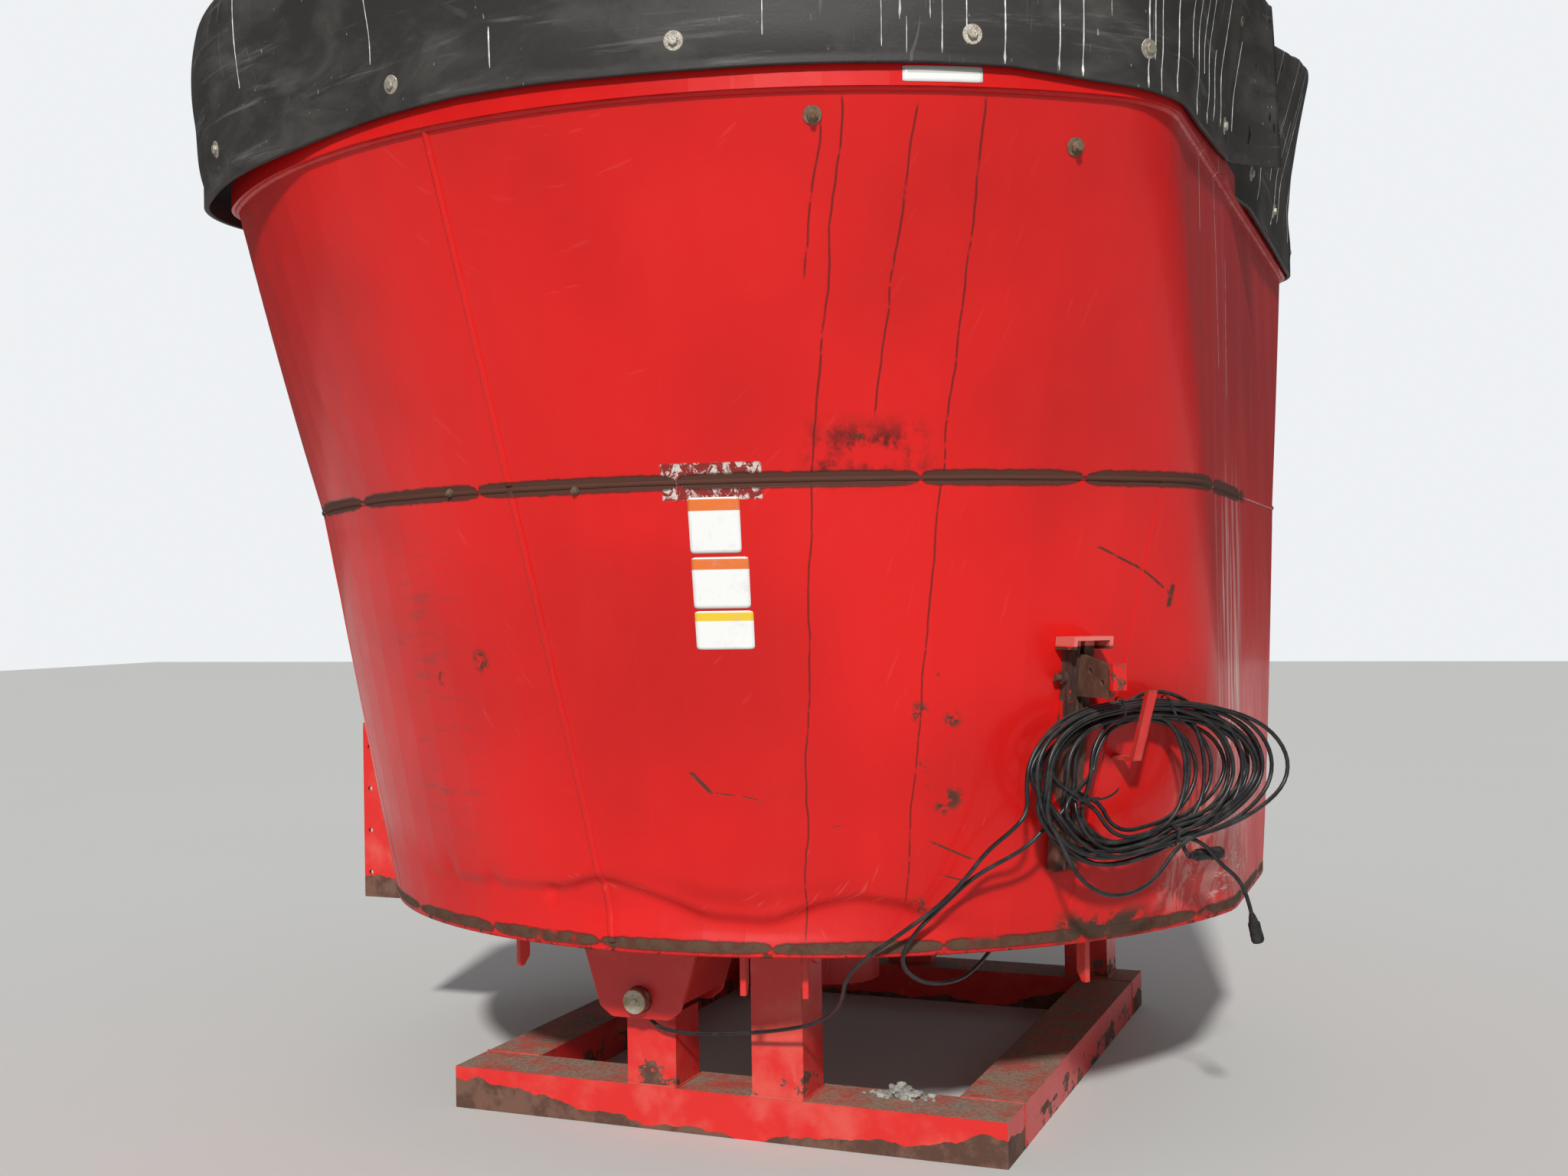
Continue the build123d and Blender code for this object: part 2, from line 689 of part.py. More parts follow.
knives = []
climb = (flight_top_z - flight_low_z) / flight_turns
for index in range(knife_count):
    share = knife_first + index * knife_step
    angle = share * flight_turns * 360
    outer = flight_r(share)
    reach = min(outer - 130, knife_tip_r - knife_long + 20)
    twist = knife_wide / 2 * climb / (2 * pi) * (1 / (reach - 30) - 1 / outer) / 2
    z = flight_low_z + (flight_top_z - flight_low_z) * share + flight_thick + knife_seat + twist
    outline = Polyline(
        (-30, -knife_wide / 2),
        (knife_long - 60, -knife_wide / 2),
        (knife_long - 20, 0),
        (knife_long - 60, knife_wide / 2),
        (-30, knife_wide / 2),
        close=True,
    )
    slope = degrees(atan2(climb, 2 * pi * (reach + knife_long / 2)))
    blank = Rot(slope, 0, 0) * extrude(make_face(outline), amount=knife_thick)
    knives.append(Rot(0, 0, angle) * Pos(reach, 0, z) * blank)
put("knives", Compound(children=knives))

# Cables: two hanks on the hook, one lead to the front weigh bar, one that hangs in its plug
def around(angle, radius, z):
    """Point at an angle round the tub's axis."""
    return (radius * cos(radians(angle)), radius * sin(radians(angle)), z)


def beside(radius, across, z):
    """Point in an upright plane at that distance from the axis, some way across from the hook."""
    x, y, _ = around(hook_angle, radius, z)
    return (x - sin(radians(hook_angle)) * across, y + cos(radians(hook_angle)) * across, z)


hook_face_low = (ring_r(hook_z) + hook_out - hook_thick, hook_z - hook_thick / 4)
hook_face_top = (ring_r(hook_z) + hook_out + hook_lean - hook_thick, hook_z + hook_rise)
lean = atan2(hook_face_top[0] - hook_face_low[0], hook_face_top[1] - hook_face_low[1])


def behind_hook(z, bundle):
    """Distance from the axis at which a bundle lies against the hook's inner face."""
    return hook_face_low[0] + (z - hook_face_low[1]) * tan(lean) - (bundle + seat_gap) / cos(lean)


# The far hank hangs inside the near one and touches it and the hook
stack = sqrt((near_bundle + far_bundle + hank_gap) ** 2 - (near_bundle - far_bundle) ** 2)
far_high = near_high - stack * cos(lean) - (near_bundle - far_bundle) * sin(lean)
near_r = behind_hook(hank_z + near_high, near_bundle)
far_r = behind_hook(hank_z + far_high, far_bundle)
hank_table = (
    # name, distance from the axis, middle, half width, half height, cord bundle radius
    ("hank_near", near_r, near_across, near_wide, near_high, near_bundle),
    ("hank_far", far_r, far_across, far_wide, far_high, far_bundle),
)
for name, radius, across, half_wide, half_high, bundle in hank_table:
    corner = half_high * 0.9
    loop = FilletPolyline(
        (-half_wide, -half_high),
        (half_wide, -half_high),
        (half_wide, half_high),
        (-half_wide, half_high),
        radius=corner,
        close=True,
    )
    plane = Plane(
        origin=beside(radius, across, hank_z),
        x_dir=(-sin(radians(hook_angle)), cos(radians(hook_angle)), 0),
        z_dir=(cos(radians(hook_angle)), sin(radians(hook_angle)), 0),
    )
    path = plane * loop
    edge = path.edges()[0]
    ring_section = Plane(origin=edge @ 0, z_dir=edge % 0) * Circle(bundle)
    put(name, sweep(ring_section, path=path))


def cord_tube(points, radius):
    """Tube along straight runs joined by tangent arcs, each as large as its runs allow."""
    nodes = [Vector(*point) for point in points]
    radii = []
    for before, here, after in zip(nodes, nodes[1:], nodes[2:]):
        first = here - before
        second = after - here
        turn_angle = first.get_angle(second)
        shorter = min(first.length, second.length)
        radii.append(0.45 * shorter / tan(radians(turn_angle / 2)))
    print("cord radii", [round(value) for value in radii])
    path = FilletPolyline(*nodes, radius=radii)
    start = Plane(origin=path @ 0, z_dir=path % 0)
    return sweep(start * Circle(radius), path=path)


near_left = near_across - near_wide - near_bundle - lead_gap
far_left = far_across - far_wide - far_bundle - lead_gap
front_lead = [
    beside(near_r, near_left, 812.0),
    beside(near_r, near_left - 30.0, 782.0),
    around(stop_angle - 9.3, floor_r + 116.0, 728.0),
    around(stop_angle - 11.0, floor_r + 90.0, 668.0),
    around(stop_angle - 13.5, floor_r + 65.0, 608.0),
    around(stop_angle - 16.8, floor_r + 44.0, 556.0),
    around(stop_angle - 20.2, floor_r + 24.0, 505.0),
    (430.0, -1062.0, 452.0),
    (402.0, -1000.0, 396.0),
    (356.0, -936.0, 346.0),
    (290.0, -888.0, 305.0),
    (200.0, -858.0, 278.0),
    (100.0, -838.0, 258.0),
    (0.0, -824.0, 244.0),
    (-92.0, -814.0, 240.0),
    (-150.0, -812.0, 256.0),
    (-160.0, -812.0, bar_z - bar_r - lead_gap),
]
rear_lead = [
    beside(far_r, far_left, 812.0),
    beside(far_r - 12, far_left - 44.0, 780.0),
    beside(far_r - 26, far_left - 92.0, 730.0),
    around(stop_angle - 9.3, floor_r + 82.0, 672.0),
    around(stop_angle - 11.6, floor_r + 56.0, 606.0),
    around(stop_angle - 13.6, floor_r + 27.0, 532.0),
    (577.0, -985.0, 458.0),
    (590.0, -900.0, 416.0),
    (596.0, -790.0, 400.0),
    (604.0, -660.0, 410.0),
    (602.0, -530.0, 426.0),
    (600.0, -410.0, rib_low - cable_r - seat_gap),
    (604.0, -300.0, 424.0),
    (606.0, -180.0, 420.0),
    (602.0, -60.0, 428.0),
    (600.0, 50.0, 428.0),
    (604.0, 160.0, 419.0),
    (606.0, 275.0, 424.0),
    (600.0, 370.0, 424.0),
    (592.0, 438.0, 395.0),
    (578.0, 494.0, 350.0),
    (564.0, 540.0, 322.0),
    (560.0, rear_post_y - bar_length / 2 - lead_gap, bar_z),
]
drop_out = 7.0
drop_z = hank_z - near_high - sqrt(near_bundle**2 - drop_out**2) - lead_gap
hanging_lead = [
    beside(near_r + drop_out, 203.0, drop_z),
    beside(near_r + drop_out, 212.0, drop_z - 34.0),
    beside(near_r + drop_out + 3, 250.0, drop_z - 60.0),
    beside(near_r + drop_out, 282.0, drop_z - 100.0),
    beside(near_r + drop_out - 2, 298.0, drop_z - 150.0),
]
for name, points in (("front_lead", front_lead), ("rear_lead", rear_lead), ("hanging_lead", hanging_lead)):
    put(name, cord_tube(points, cable_r))
end = Vector(*hanging_lead[-1])
heading = (end - Vector(*hanging_lead[-2])).normalized()
put("hanging_plug", rod(tuple(end), tuple(end + heading * plug_long), plug_r))
lying_in = plug_r
lying_z = hank_z - near_high - sqrt((near_bundle + plug_r + seat_gap) ** 2 - lying_in**2)
lying_start = beside(near_r - lying_in, 146.0, lying_z)
put("lying_plug", rod(lying_start, beside(near_r - lying_in, 146.0 + lying_long, lying_z), plug_r))

os.makedirs("parts", exist_ok=True)
for name, shape in parts.items():
    export_step(shape, f"parts/{name}.step")
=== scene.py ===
import random
from math import asin, atan2, copysign, cos, degrees, exp, hypot, pi, radians, sin, sqrt
import bmesh
import bpy
from mathutils import Matrix, Vector, noise


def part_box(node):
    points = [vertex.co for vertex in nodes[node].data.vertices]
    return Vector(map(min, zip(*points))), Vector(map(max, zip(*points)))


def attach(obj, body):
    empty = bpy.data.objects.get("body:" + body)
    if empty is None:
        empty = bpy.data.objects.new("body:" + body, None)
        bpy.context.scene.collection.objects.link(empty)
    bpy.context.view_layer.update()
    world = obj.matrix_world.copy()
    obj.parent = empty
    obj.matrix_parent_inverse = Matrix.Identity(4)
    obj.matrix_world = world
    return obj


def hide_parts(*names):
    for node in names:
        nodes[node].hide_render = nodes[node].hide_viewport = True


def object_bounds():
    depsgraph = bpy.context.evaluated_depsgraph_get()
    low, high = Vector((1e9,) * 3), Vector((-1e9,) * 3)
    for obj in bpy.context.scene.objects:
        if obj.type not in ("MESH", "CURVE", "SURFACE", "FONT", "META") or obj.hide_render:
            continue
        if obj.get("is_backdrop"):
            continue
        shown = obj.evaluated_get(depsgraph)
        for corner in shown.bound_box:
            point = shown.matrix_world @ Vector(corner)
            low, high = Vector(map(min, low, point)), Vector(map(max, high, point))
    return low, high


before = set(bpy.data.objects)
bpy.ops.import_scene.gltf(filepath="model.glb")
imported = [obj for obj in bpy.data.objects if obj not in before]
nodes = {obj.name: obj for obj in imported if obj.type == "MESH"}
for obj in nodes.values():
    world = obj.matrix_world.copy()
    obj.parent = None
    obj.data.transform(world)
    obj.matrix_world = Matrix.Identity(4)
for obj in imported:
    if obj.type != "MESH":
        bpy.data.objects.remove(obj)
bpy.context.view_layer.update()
print("frame loaded:", len(nodes), "pieces")

# Camera at the photograph's angle
cameraValues = {
    "place": (1.662, -4.395, 1.249),
    "yaw": 0.386,
    "pitch": -0.005,
    "roll": -0.016,
    "lens": 39.2,  # millimetres
    "sensor": 36.0,
    "farthest": 60.0,
}


def makeCamera(values):
    data = bpy.data.cameras.new("camera")
    data.sensor_width = values["sensor"]
    data.lens = values["lens"]
    data.clip_end = values["farthest"]
    camera = bpy.data.objects.new("camera", data)
    aimed = Matrix.Rotation(values["yaw"], 4, "Z") @ Matrix.Rotation(pi / 2 - values["pitch"], 4, "X")
    aimed = aimed @ Matrix.Rotation(values["roll"], 4, "Z")
    camera.matrix_world = Matrix.Translation(values["place"]) @ aimed
    bpy.context.scene.collection.objects.link(camera)
    bpy.context.scene.camera = camera


makeCamera(cameraValues)
print("camera set")

# The tub's own shape, for whatever lies on its wall
tub = {
    "floorRadius": 1.158,
    "seamRadius": 1.332,
    "rimRadius": 1.540,
    "sideHalf": 1.122,
    "cornerBend": 0.25,
    "wall": 0.008,
    "floorZ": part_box("tub_floor")[0].z,
    "seamZ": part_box("front_lower_wall")[1].z,
    "rimZ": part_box("front_upper_wall")[1].z,
    "splitY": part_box("front_lower_wall")[1].y,
}


def limited(share):
    return min(1.0, max(0.0, share))


def mixed(first, last, share):
    return first + (last - first) * share


def softStep(value, first, last):
    share = limited((value - first) / (last - first))
    return share * share * (3 - 2 * share)


def alongTable(table, value):
    for (a, first), (b, last) in zip(table, table[1:]):
        if value <= b:
            return mixed(first, last, limited((value - a) / (b - a)))
    return table[-1][1]


def ringRadius(z):
    if z <= tub["seamZ"]:
        share = (z - tub["floorZ"]) / (tub["seamZ"] - tub["floorZ"])
        return mixed(tub["floorRadius"], tub["seamRadius"], share)
    share = min(1.0, (z - tub["seamZ"]) / (tub["rimZ"] - tub["seamZ"]))
    return mixed(tub["seamRadius"], tub["rimRadius"], share)


def around(angle, radius, z):
    return Vector((radius * cos(radians(angle)), radius * sin(radians(angle)), z))


def outline(angle, radius, half, bend):
    # distance from the axis to a circle that is cut flat on both sides, with rolled corners
    bendX = half - bend
    bendY = sqrt((radius - bend) ** 2 - bendX ** 2)
    across, along = abs(cos(radians(angle))), abs(sin(radians(angle)))
    folded = atan2(along, across)
    if folded <= atan2(bendY, half):
        return half / across
    if folded >= atan2(bendY, bendX):
        return radius
    middle = bendX * across + bendY * along
    return middle + sqrt(middle ** 2 - bendX ** 2 - bendY ** 2 + bend ** 2)


def wallPoint(angle, z, out=0.0):  # a place on the wall, out metres proud of it
    reach = outline(angle, ringRadius(z) + out, tub["sideHalf"] + out, tub["cornerBend"] + out)
    return around(angle, reach, z)


def wallNormal(angle, z):
    sideways = wallPoint(angle + 0.2, z) - wallPoint(angle - 0.2, z)
    upwards = wallPoint(angle, z + 0.004) - wallPoint(angle, z - 0.004)
    return sideways.cross(upwards).normalized()


# Meshes and curves
def finish(piece, material):
    piece.data.materials.clear()
    piece.data.materials.append(material)


def addObject(name, data, material=None, body="root", slot=None, replaces=()):
    piece = bpy.data.objects.new(name, data)
    bpy.context.scene.collection.objects.link(piece)
    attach(piece, body)
    if replaces:
        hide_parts(*replaces)
    if material:
        finish(piece, material)
    return piece


def meshPiece(name, points, faces, closed=True, sharp=0.6, **extra):
    data = bpy.data.meshes.new(name)
    data.from_pydata([tuple(p) for p in points], [], faces)
    data.validate()
    if closed:
        build = bmesh.new()
        build.from_mesh(data)
        bmesh.ops.recalc_face_normals(build, faces=build.faces)
        build.to_mesh(data)
        build.free()
    data.polygons.foreach_set("use_smooth", [True] * len(data.polygons))
    data.set_sharp_from_angle(angle=sharp)
    return addObject(name, data, **extra)


def joinRings(rings, closedAlong=False):
    # points and faces of a skin over equal rings of points, capped unless it comes back to its start
    count, rows = len(rings[0]), len(rings)
    faces = []
    for row in range(rows if closedAlong else rows - 1):
        here, there = row * count, (row + 1) % rows * count
        for index in range(count):
            following = (index + 1) % count
            faces.append((here + index, here + following, there + following, there + index))
    if not closedAlong:
        faces += [tuple(range(count))[::-1], tuple(range((rows - 1) * count, rows * count))]
    return [p for ring in rings for p in ring], faces


def gridFaces(rows, width, flip=False):
    faces = []
    for row in range(rows):
        for column in range(width - 1):
            corner = row * width + column
            face = (corner, corner + 1, corner + width + 1, corner + width)
            faces.append(face[::-1] if flip else face)
    return faces


def crossWays(axis):
    first = axis.orthogonal().normalized()
    return first, axis.cross(first)


def ringOf(centre, ways, radius, sides, spin=0.0):
    turns = [2 * pi * index / sides + spin for index in range(sides)]
    return [centre + (ways[0] * cos(turn) + ways[1] * sin(turn)) * radius for turn in turns]


def turned(start, direction, profile, sides=28):
    # a lathe shape: profile rows are distance along the axis and radius
    start, axis = Vector(start), Vector(direction).normalized()
    return joinRings([ringOf(start + axis * along, crossWays(axis), r, sides) for along, r in profile])


def gather(shapes):
    # several point and face lists as one
    points, faces = [], []
    for some, others in shapes:
        base = len(points)
        points += list(some)
        faces += [tuple(base + index for index in face) for face in others]
    return points, faces


def softenEdges(piece, width, segments=2):
    bevel = piece.modifiers.new("soft edges", "BEVEL")
    bevel.width = width
    bevel.segments = segments
    bevel.limit_method = "ANGLE"


def thicken(piece, thickness, offset):
    sheet = piece.modifiers.new("thickness", "SOLIDIFY")
    sheet.thickness = thickness
    sheet.offset = offset


# Cables: both start at weigh bars, run under the tub, are wound over the hook and end in a plug
barValues = {"place": (-0.160, -0.8725, 0.318), "radius": 0.0285}
hookAngle = -39.6
hookOut = around(hookAngle, 1.0, 0.0)
hookSide = around(hookAngle + 90, 1.0, 0.0)


def beside(radius, across, z):
    return around(hookAngle, radius, z) + hookSide * across


def middleOf(name):
    middle = sum(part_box(name), Vector()) / 2
    return middle.dot(hookOut), middle.dot(hookSide), middle.z


nearRadius, nearAcross, hankZ = middleOf("hank_near")
farRadius, farAcross, _ = middleOf("hank_far")
barZ = middleOf("weigh_bars")[2]
cableValues = {
    "diameter": 0.009,
    "pitch": 0.0095,  # from one turn to the next where they are tied
    "jitter": 0.003,
    "nearTieZ": (0.722, 1.010),
    "farTieZ": (0.746, 0.988),
    "tieLow": 0.083,
    "tieHigh": 0.012,
    "tieDraw": 0.4,
    "lastStations": 13,
    "leadGap": 0.0016,
    "seed": 4,
}
nearTurns = (
    # left, right, sag, rise
    (-0.289, 0.345, 1.00, 0.0), (-0.262, 0.284, 1.04, 0.0), (-0.276, 0.358, 0.97, 0.0),
    (-0.244, 0.245, 1.02, 0.0), (-0.281, 0.330, 1.00, 0.0), (-0.232, 0.300, 0.96, 0.046),
    (-0.270, 0.352, 1.08, 0.0), (-0.258, 0.394, 1.46, 0.0), (-0.268, 0.190, 1.05, 0.0),
)
farTurns = (
    (-0.179, 0.150, 1.00, 0.0), (-0.160, 0.262, 1.05, 0.0), (-0.122, 0.130, 0.90, 0.0),
    (-0.225, 0.300, 1.04, 0.0), (-0.105, 0.168, 0.92, 0.0), (-0.238, 0.262, 1.10, 0.0),
    (-0.205, 0.225, 1.06, 0.0), (-0.190, 0.318, 1.12, 0.0), (-0.150, 0.330, 0.98, 0.0),
)
turnStations = (
    # share of the reach to that side, share of the height, how far it is drawn into a tie
    (-1.00, 0.00, 0.0), (-0.97, 0.36, 0.0), (-0.82, 0.68, 0.1), (-0.56, 0.90, 0.4), (-0.22, 1.00, 0.9),
    (0.06, 1.02, 1.0), (0.34, 0.98, 0.8), (0.64, 0.84, 0.3), (0.88, 0.56, 0.0), (1.00, 0.12, 0.0),
    (0.96, -0.30, 0.0), (0.74, -0.64, 0.1), (0.46, -0.86, 0.5), (0.20, -0.95, 1.0), (-0.12, -1.08, 0.9),
    (-0.44, -1.16, 0.3), (-0.74, -0.92, 0.0), (-0.93, -0.48, 0.0),
)
bundlePlaces = (  # places of the turns in the tied bundle, in pitches
    (0, 0), (1, 0), (0.5, 0.87), (-0.5, 0.87), (-1, 0), (-0.5, -0.87), (0.5, -0.87), (0.1, 1.35),
    (1.1, -0.75),
)


def hankTurns(turns, radius, tieZ, values, depthSpread):
    rough = random.Random(values["seed"])
    middleZ, halfHigh = sum(tieZ) / 2, (tieZ[1] - tieZ[0]) / 2
    points = []
    for number, (left, right, sag, rise) in enumerate(turns):
        placeZ, placeOut = bundlePlaces[number]
        lastTurn = number == len(turns) - 1
        for share, height, pull in turnStations[:values["lastStations"] if lastTurn else None]:
            tied = values["tieLow"] if height < 0 else values["tieHigh"]
            drawn = tied * values["tieDraw"]
            across = drawn + share * (right - drawn if share > 0 else drawn - left)
            if abs(share) < 0.3:
                across = mixed(across, tied, pull * 0.25)
            z = middleZ + height * halfHigh * (sag if height < -0.4 and share < 0 else 1.0)
            if height > 0.5:
                z += rise * max(0.0, 1 - abs(share - 0.2) / 0.45)
            z += placeZ * values["pitch"] * (1 if height > 0 else -1)
            out = placeOut * values["pitch"] * (1 + (1 - pull) * depthSpread)
            loose = values["jitter"] * (1 - pull)
            across += rough.uniform(-loose, loose)
            z += rough.uniform(-loose, loose)
            points.append(beside(radius + out, across, z))
    return points


def makeCord(name, points, replaces):
    data = bpy.data.curves.new(name, "CURVE")
    data.dimensions = "3D"
    data.bevel_depth = cableValues["diameter"] / 2
    data.bevel_resolution = 3
    data.resolution_u = 4
    data.use_fill_caps = True
    spline = data.splines.new("NURBS")
    spline.points.add(len(points) - 1)
    for place, point in zip(spline.points, points):
        place.co = (*point, 1.0)
    spline.order_u = 3
    spline.use_endpoint_u = True
    return addObject(name, data, slot="cable_rubber", replaces=replaces)


leadGap = cableValues["leadGap"]
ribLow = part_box("floor_ribs")[0].z
nearEdge = nearAcross - 0.320 - leadGap  # just past the hanks' left ends
farEdge = farAcross - 0.168 - leadGap
frontRoute = [beside(nearRadius, nearEdge, 0.812), beside(nearRadius, nearEdge - 0.030, 0.782)]
frontRoute += [around(*place) for place in (
    (-54.9, 1.274, 0.728), (-56.6, 1.248, 0.668), (-59.1, 1.223, 0.608), (-62.4, 1.202, 0.556),
    (-65.8, 1.182, 0.505),
)]
frontRoute += [Vector(place) for place in (
    (0.430, -1.062, 0.452), (0.402, -1.000, 0.396), (0.356, -0.936, 0.346), (0.290, -0.888, 0.305),
    (0.200, -0.858, 0.278), (0.100, -0.838, 0.258), (0.000, -0.824, 0.244), (-0.092, -0.814, 0.240),
    (-0.150, -0.812, 0.256), (-0.160, -0.812, barZ - barValues["radius"] - leadGap),
)]
rearRoute = [
    beside(farRadius, farEdge, 0.812), beside(farRadius - 0.012, farEdge - 0.044, 0.780),
    beside(farRadius - 0.026, farEdge - 0.092, 0.730),
]
rearRoute += [around(*place) for place in (
    (-55.4, 1.238, 0.676), (-58.4, 1.214, 0.612), (-61.4, 1.190, 0.546), (-62.4, 1.150, 0.478),
)]
rearRoute += [Vector(place) for place in (
    (0.556, -0.920, 0.418), (0.596, -0.790, 0.400), (0.604, -0.660, 0.410), (0.602, -0.530, 0.426),
    (0.600, -0.410, ribLow - 0.0048), (0.604, -0.300, 0.424), (0.606, -0.180, 0.420), (0.602, -0.060, 0.428),
    (0.600, 0.050, 0.428), (0.604, 0.160, 0.419), (0.606, 0.275, 0.424), (0.600, 0.370, 0.424),
    (0.592, 0.438, 0.395), (0.578, 0.494, 0.350), (0.564, 0.540, 0.322), (0.560, 0.5725 - leadGap, barZ),
)]
dropRadius = nearRadius + 0.007
dropZ = hankZ - 0.145 - sqrt(0.020 ** 2 - 0.007 ** 2) - leadGap  # where it leaves the bundle's low side
hangingRoute = [
    beside(nearRadius + 0.010, 0.160, 0.716),
    beside(dropRadius, 0.212, dropZ - 0.034),
    beside(dropRadius + 0.003, 0.250, dropZ - 0.060),
    beside(dropRadius, 0.282, dropZ - 0.100),
    beside(dropRadius - 0.002, 0.298, dropZ - 0.150),
]
lyingZ = middleOf("lying_plug")[2]
lyingRadius = nearRadius - 0.014

frontPoints = frontRoute[::-1] + hankTurns(nearTurns, nearRadius, cableValues["nearTieZ"], cableValues, 0.9)
frontPoints += hangingRoute
frontCable = makeCord("front_weigh_cable", frontPoints, ("front_lead", "hank_near", "hanging_lead"))
rearTurns = hankTurns(farTurns, farRadius - 0.006, cableValues["farTieZ"], cableValues, 0.5)
rearPoints = rearRoute[::-1] + rearTurns
rearPoints += [beside(lyingRadius, 0.112, 0.716), beside(lyingRadius, 0.140, lyingZ)]
rearCable = makeCord("rear_weigh_cable", rearPoints, ("rear_lead", "hank_far"))

# Moulded round plugs: ribbed neck, shoulder, straight body, collar and socket
plugValues = {"radius": 0.014, "neck": 0.0058, "ribs": 5, "ribPitch": 0.0026, "knurls": 18}


def plugProfile(length, values):
    big, neck = values["radius"], values["neck"]
    rows = [(-0.004, neck), (0.0, neck + 0.0008)]
    for rib in range(values["ribs"]):
        start = 0.0015 + rib * values["ribPitch"]
        grown = neck + 0.0012 + (big * 0.62 - neck) * (rib + 1) / values["ribs"]
        rows += [(start, grown), (start + 0.0015, grown), (start + 0.0017, grown - 0.0009)]
    rows += [(0.0158, big * 0.66), (0.0175, big * 0.88), (0.0195, big * 0.93)]
    rows += [(length * along, big * wide) for along, wide in (
        (0.60, 0.95), (0.61, 0.84), (0.65, 0.84), (0.66, 0.97), (0.86, 0.97), (0.87, 1.0), (0.94, 1.0),
        (0.955, 0.9), (1.0, 0.88), (1.0, 0.72),
    )]
    return rows + [(length - 0.008, big * 0.68), (length - 0.008, 0.0004)]


def makePlug(name, node, start, direction, length):
    axis = direction.normalized()
    shapes = [turned(start, axis, plugProfile(length, plugValues), 32)]
    knurl = [(0.0, 0.0006), (0.001, 0.0013), (length * 0.2, 0.0013), (length * 0.21, 0.0006)]
    middle, reach = start + axis * length * 0.69, plugValues["radius"] - 0.0012
    places = ringOf(middle, crossWays(axis), reach, plugValues["knurls"])
    shapes += [turned(place, axis, knurl, 6) for place in places]
    return meshPiece(name, *gather(shapes), slot="plug_plastic", replaces=(node,))


hangingEnd = hangingRoute[-1]
hangingPlug = makePlug("hanging_round_plug", "hanging_plug", hangingEnd, hangingEnd - hangingRoute[-2], 0.062)
lyingPlug = makePlug("lying_round_plug", "lying_plug", beside(lyingRadius, 0.146, lyingZ), hookSide, 0.084)

print("cables wound")


# A wire is a value in a material that can stand in plain sums
class Wire:
    def __init__(self, socket):
        self.socket, self.tree = socket, socket.id_data

    def __add__(self, other):
        return calc("ADD", self, other)

    def __sub__(self, other):
        return calc("SUBTRACT", self, other)

    def __rsub__(self, other):
        return calc("SUBTRACT", other, self)

    def __mul__(self, other):
        return calc("MULTIPLY", self, other)

    def __truediv__(self, other):
        return calc("DIVIDE", self, other)

    __radd__, __rmul__ = __add__, __mul__


def feed(socket, value):
    if isinstance(value, Wire):
        value.tree.links.new(value.socket, socket)
    elif value is not None:
        opaque = socket.type == "RGBA" and len(value) == 3
        socket.default_value = (*value, 1.0) if opaque else value


def feedAll(made, **values):
    for name, value in values.items():
        feed(made.inputs[name.replace("_", " ")], value)


def addNode(tree, kind, *values, **settings):
    made = tree.nodes.new("ShaderNode" + kind)
    for name, value in settings.items():
        setattr(made, name, value)
    for socket, value in zip(made.inputs, values):
        feed(socket, value)
    return made


def calc(operation, *values):
    tree = next(value.tree for value in values if isinstance(value, Wire))
    return Wire(addNode(tree, "Math", *values, operation=operation).outputs[0])


def blender(kind, first, out):  # under where the mask is 0, over where it is 1
    def blend(mask, under, over):
        made = addNode(mask.tree, "Mix", mask, data_type=kind)
        feed(made.inputs[first], under)
        feed(made.inputs[first + 1], over)
        return Wire(made.outputs[out])

    return blend


tint, between = blender("RGBA", 6, 2), blender("FLOAT", 2, 0)


def layered(color, *layers):  # masks, each with the colour that it lays over the ones before
    for mask, over in layers:
        color = tint(mask, color, over)
    return color


def rise(value, low, high):  # 0 before low and 1 past high
    return Wire(addNode(value.tree, "MapRange", value, low, high, interpolation_type="SMOOTHSTEP").outputs[0])


def anyOf(found, *masks):
    for mask in masks:
        found = calc("MAXIMUM", found, mask)
    return found


def dot(first, second):
    return Wire(addNode(first.tree, "VectorMath", first, second, operation="DOT_PRODUCT").outputs["Value"])


def partsOf(spot):
    return [Wire(socket) for socket in addNode(spot.tree, "SeparateXYZ", spot).outputs]


def joined(x, y, z=None):
    return Wire(addNode(x.tree, "CombineXYZ", x, y, z).outputs[0])


def facing(tree):
    return Wire(addNode(tree, "NewGeometry").outputs["Normal"])


def mapped(spot, turn, factors):
    return Wire(addNode(spot.tree, "Mapping", spot, None, turn, factors, vector_type="POINT").outputs[0])


def grain(spot, scale, detail=4.0, roughness=0.55, distortion=None, stretch=None):
    made = addNode(spot.tree, "TexNoise")
    place = mapped(spot, None, stretch) if stretch else spot
    feedAll(made, Vector=place, Scale=scale, Detail=detail, Roughness=roughness, Distortion=distortion or 0.0)
    return Wire(made.outputs[0])


def makeGroup(name, takes, build):
    # a shader group over places: its other inputs with their first values, and what gives its masks
    tree = bpy.data.node_groups.new(name, "ShaderNodeTree")
    tree.interface.new_socket(name="Vector", in_out="INPUT", socket_type="NodeSocketVector")
    for label, start in takes.items():
        taken = tree.interface.new_socket(name=label, in_out="INPUT", socket_type="NodeSocketFloat")
        taken.default_value = start
    given = tree.nodes.new("NodeGroupInput").outputs
    results = build(*(Wire(given[label]) for label in ("Vector", *takes)))
    for label in results:
        tree.interface.new_socket(name=label, in_out="OUTPUT", socket_type="NodeSocketFloat")
    feedAll(tree.nodes.new("NodeGroupOutput"), **results)
    return tree


def use(group, spot, **values):
    made = addNode(spot.tree, "Group", node_tree=group)
    feedAll(made, Vector=spot, **values)
    found = [Wire(socket) for socket in made.outputs]
    return found if len(found) > 1 else found[0]


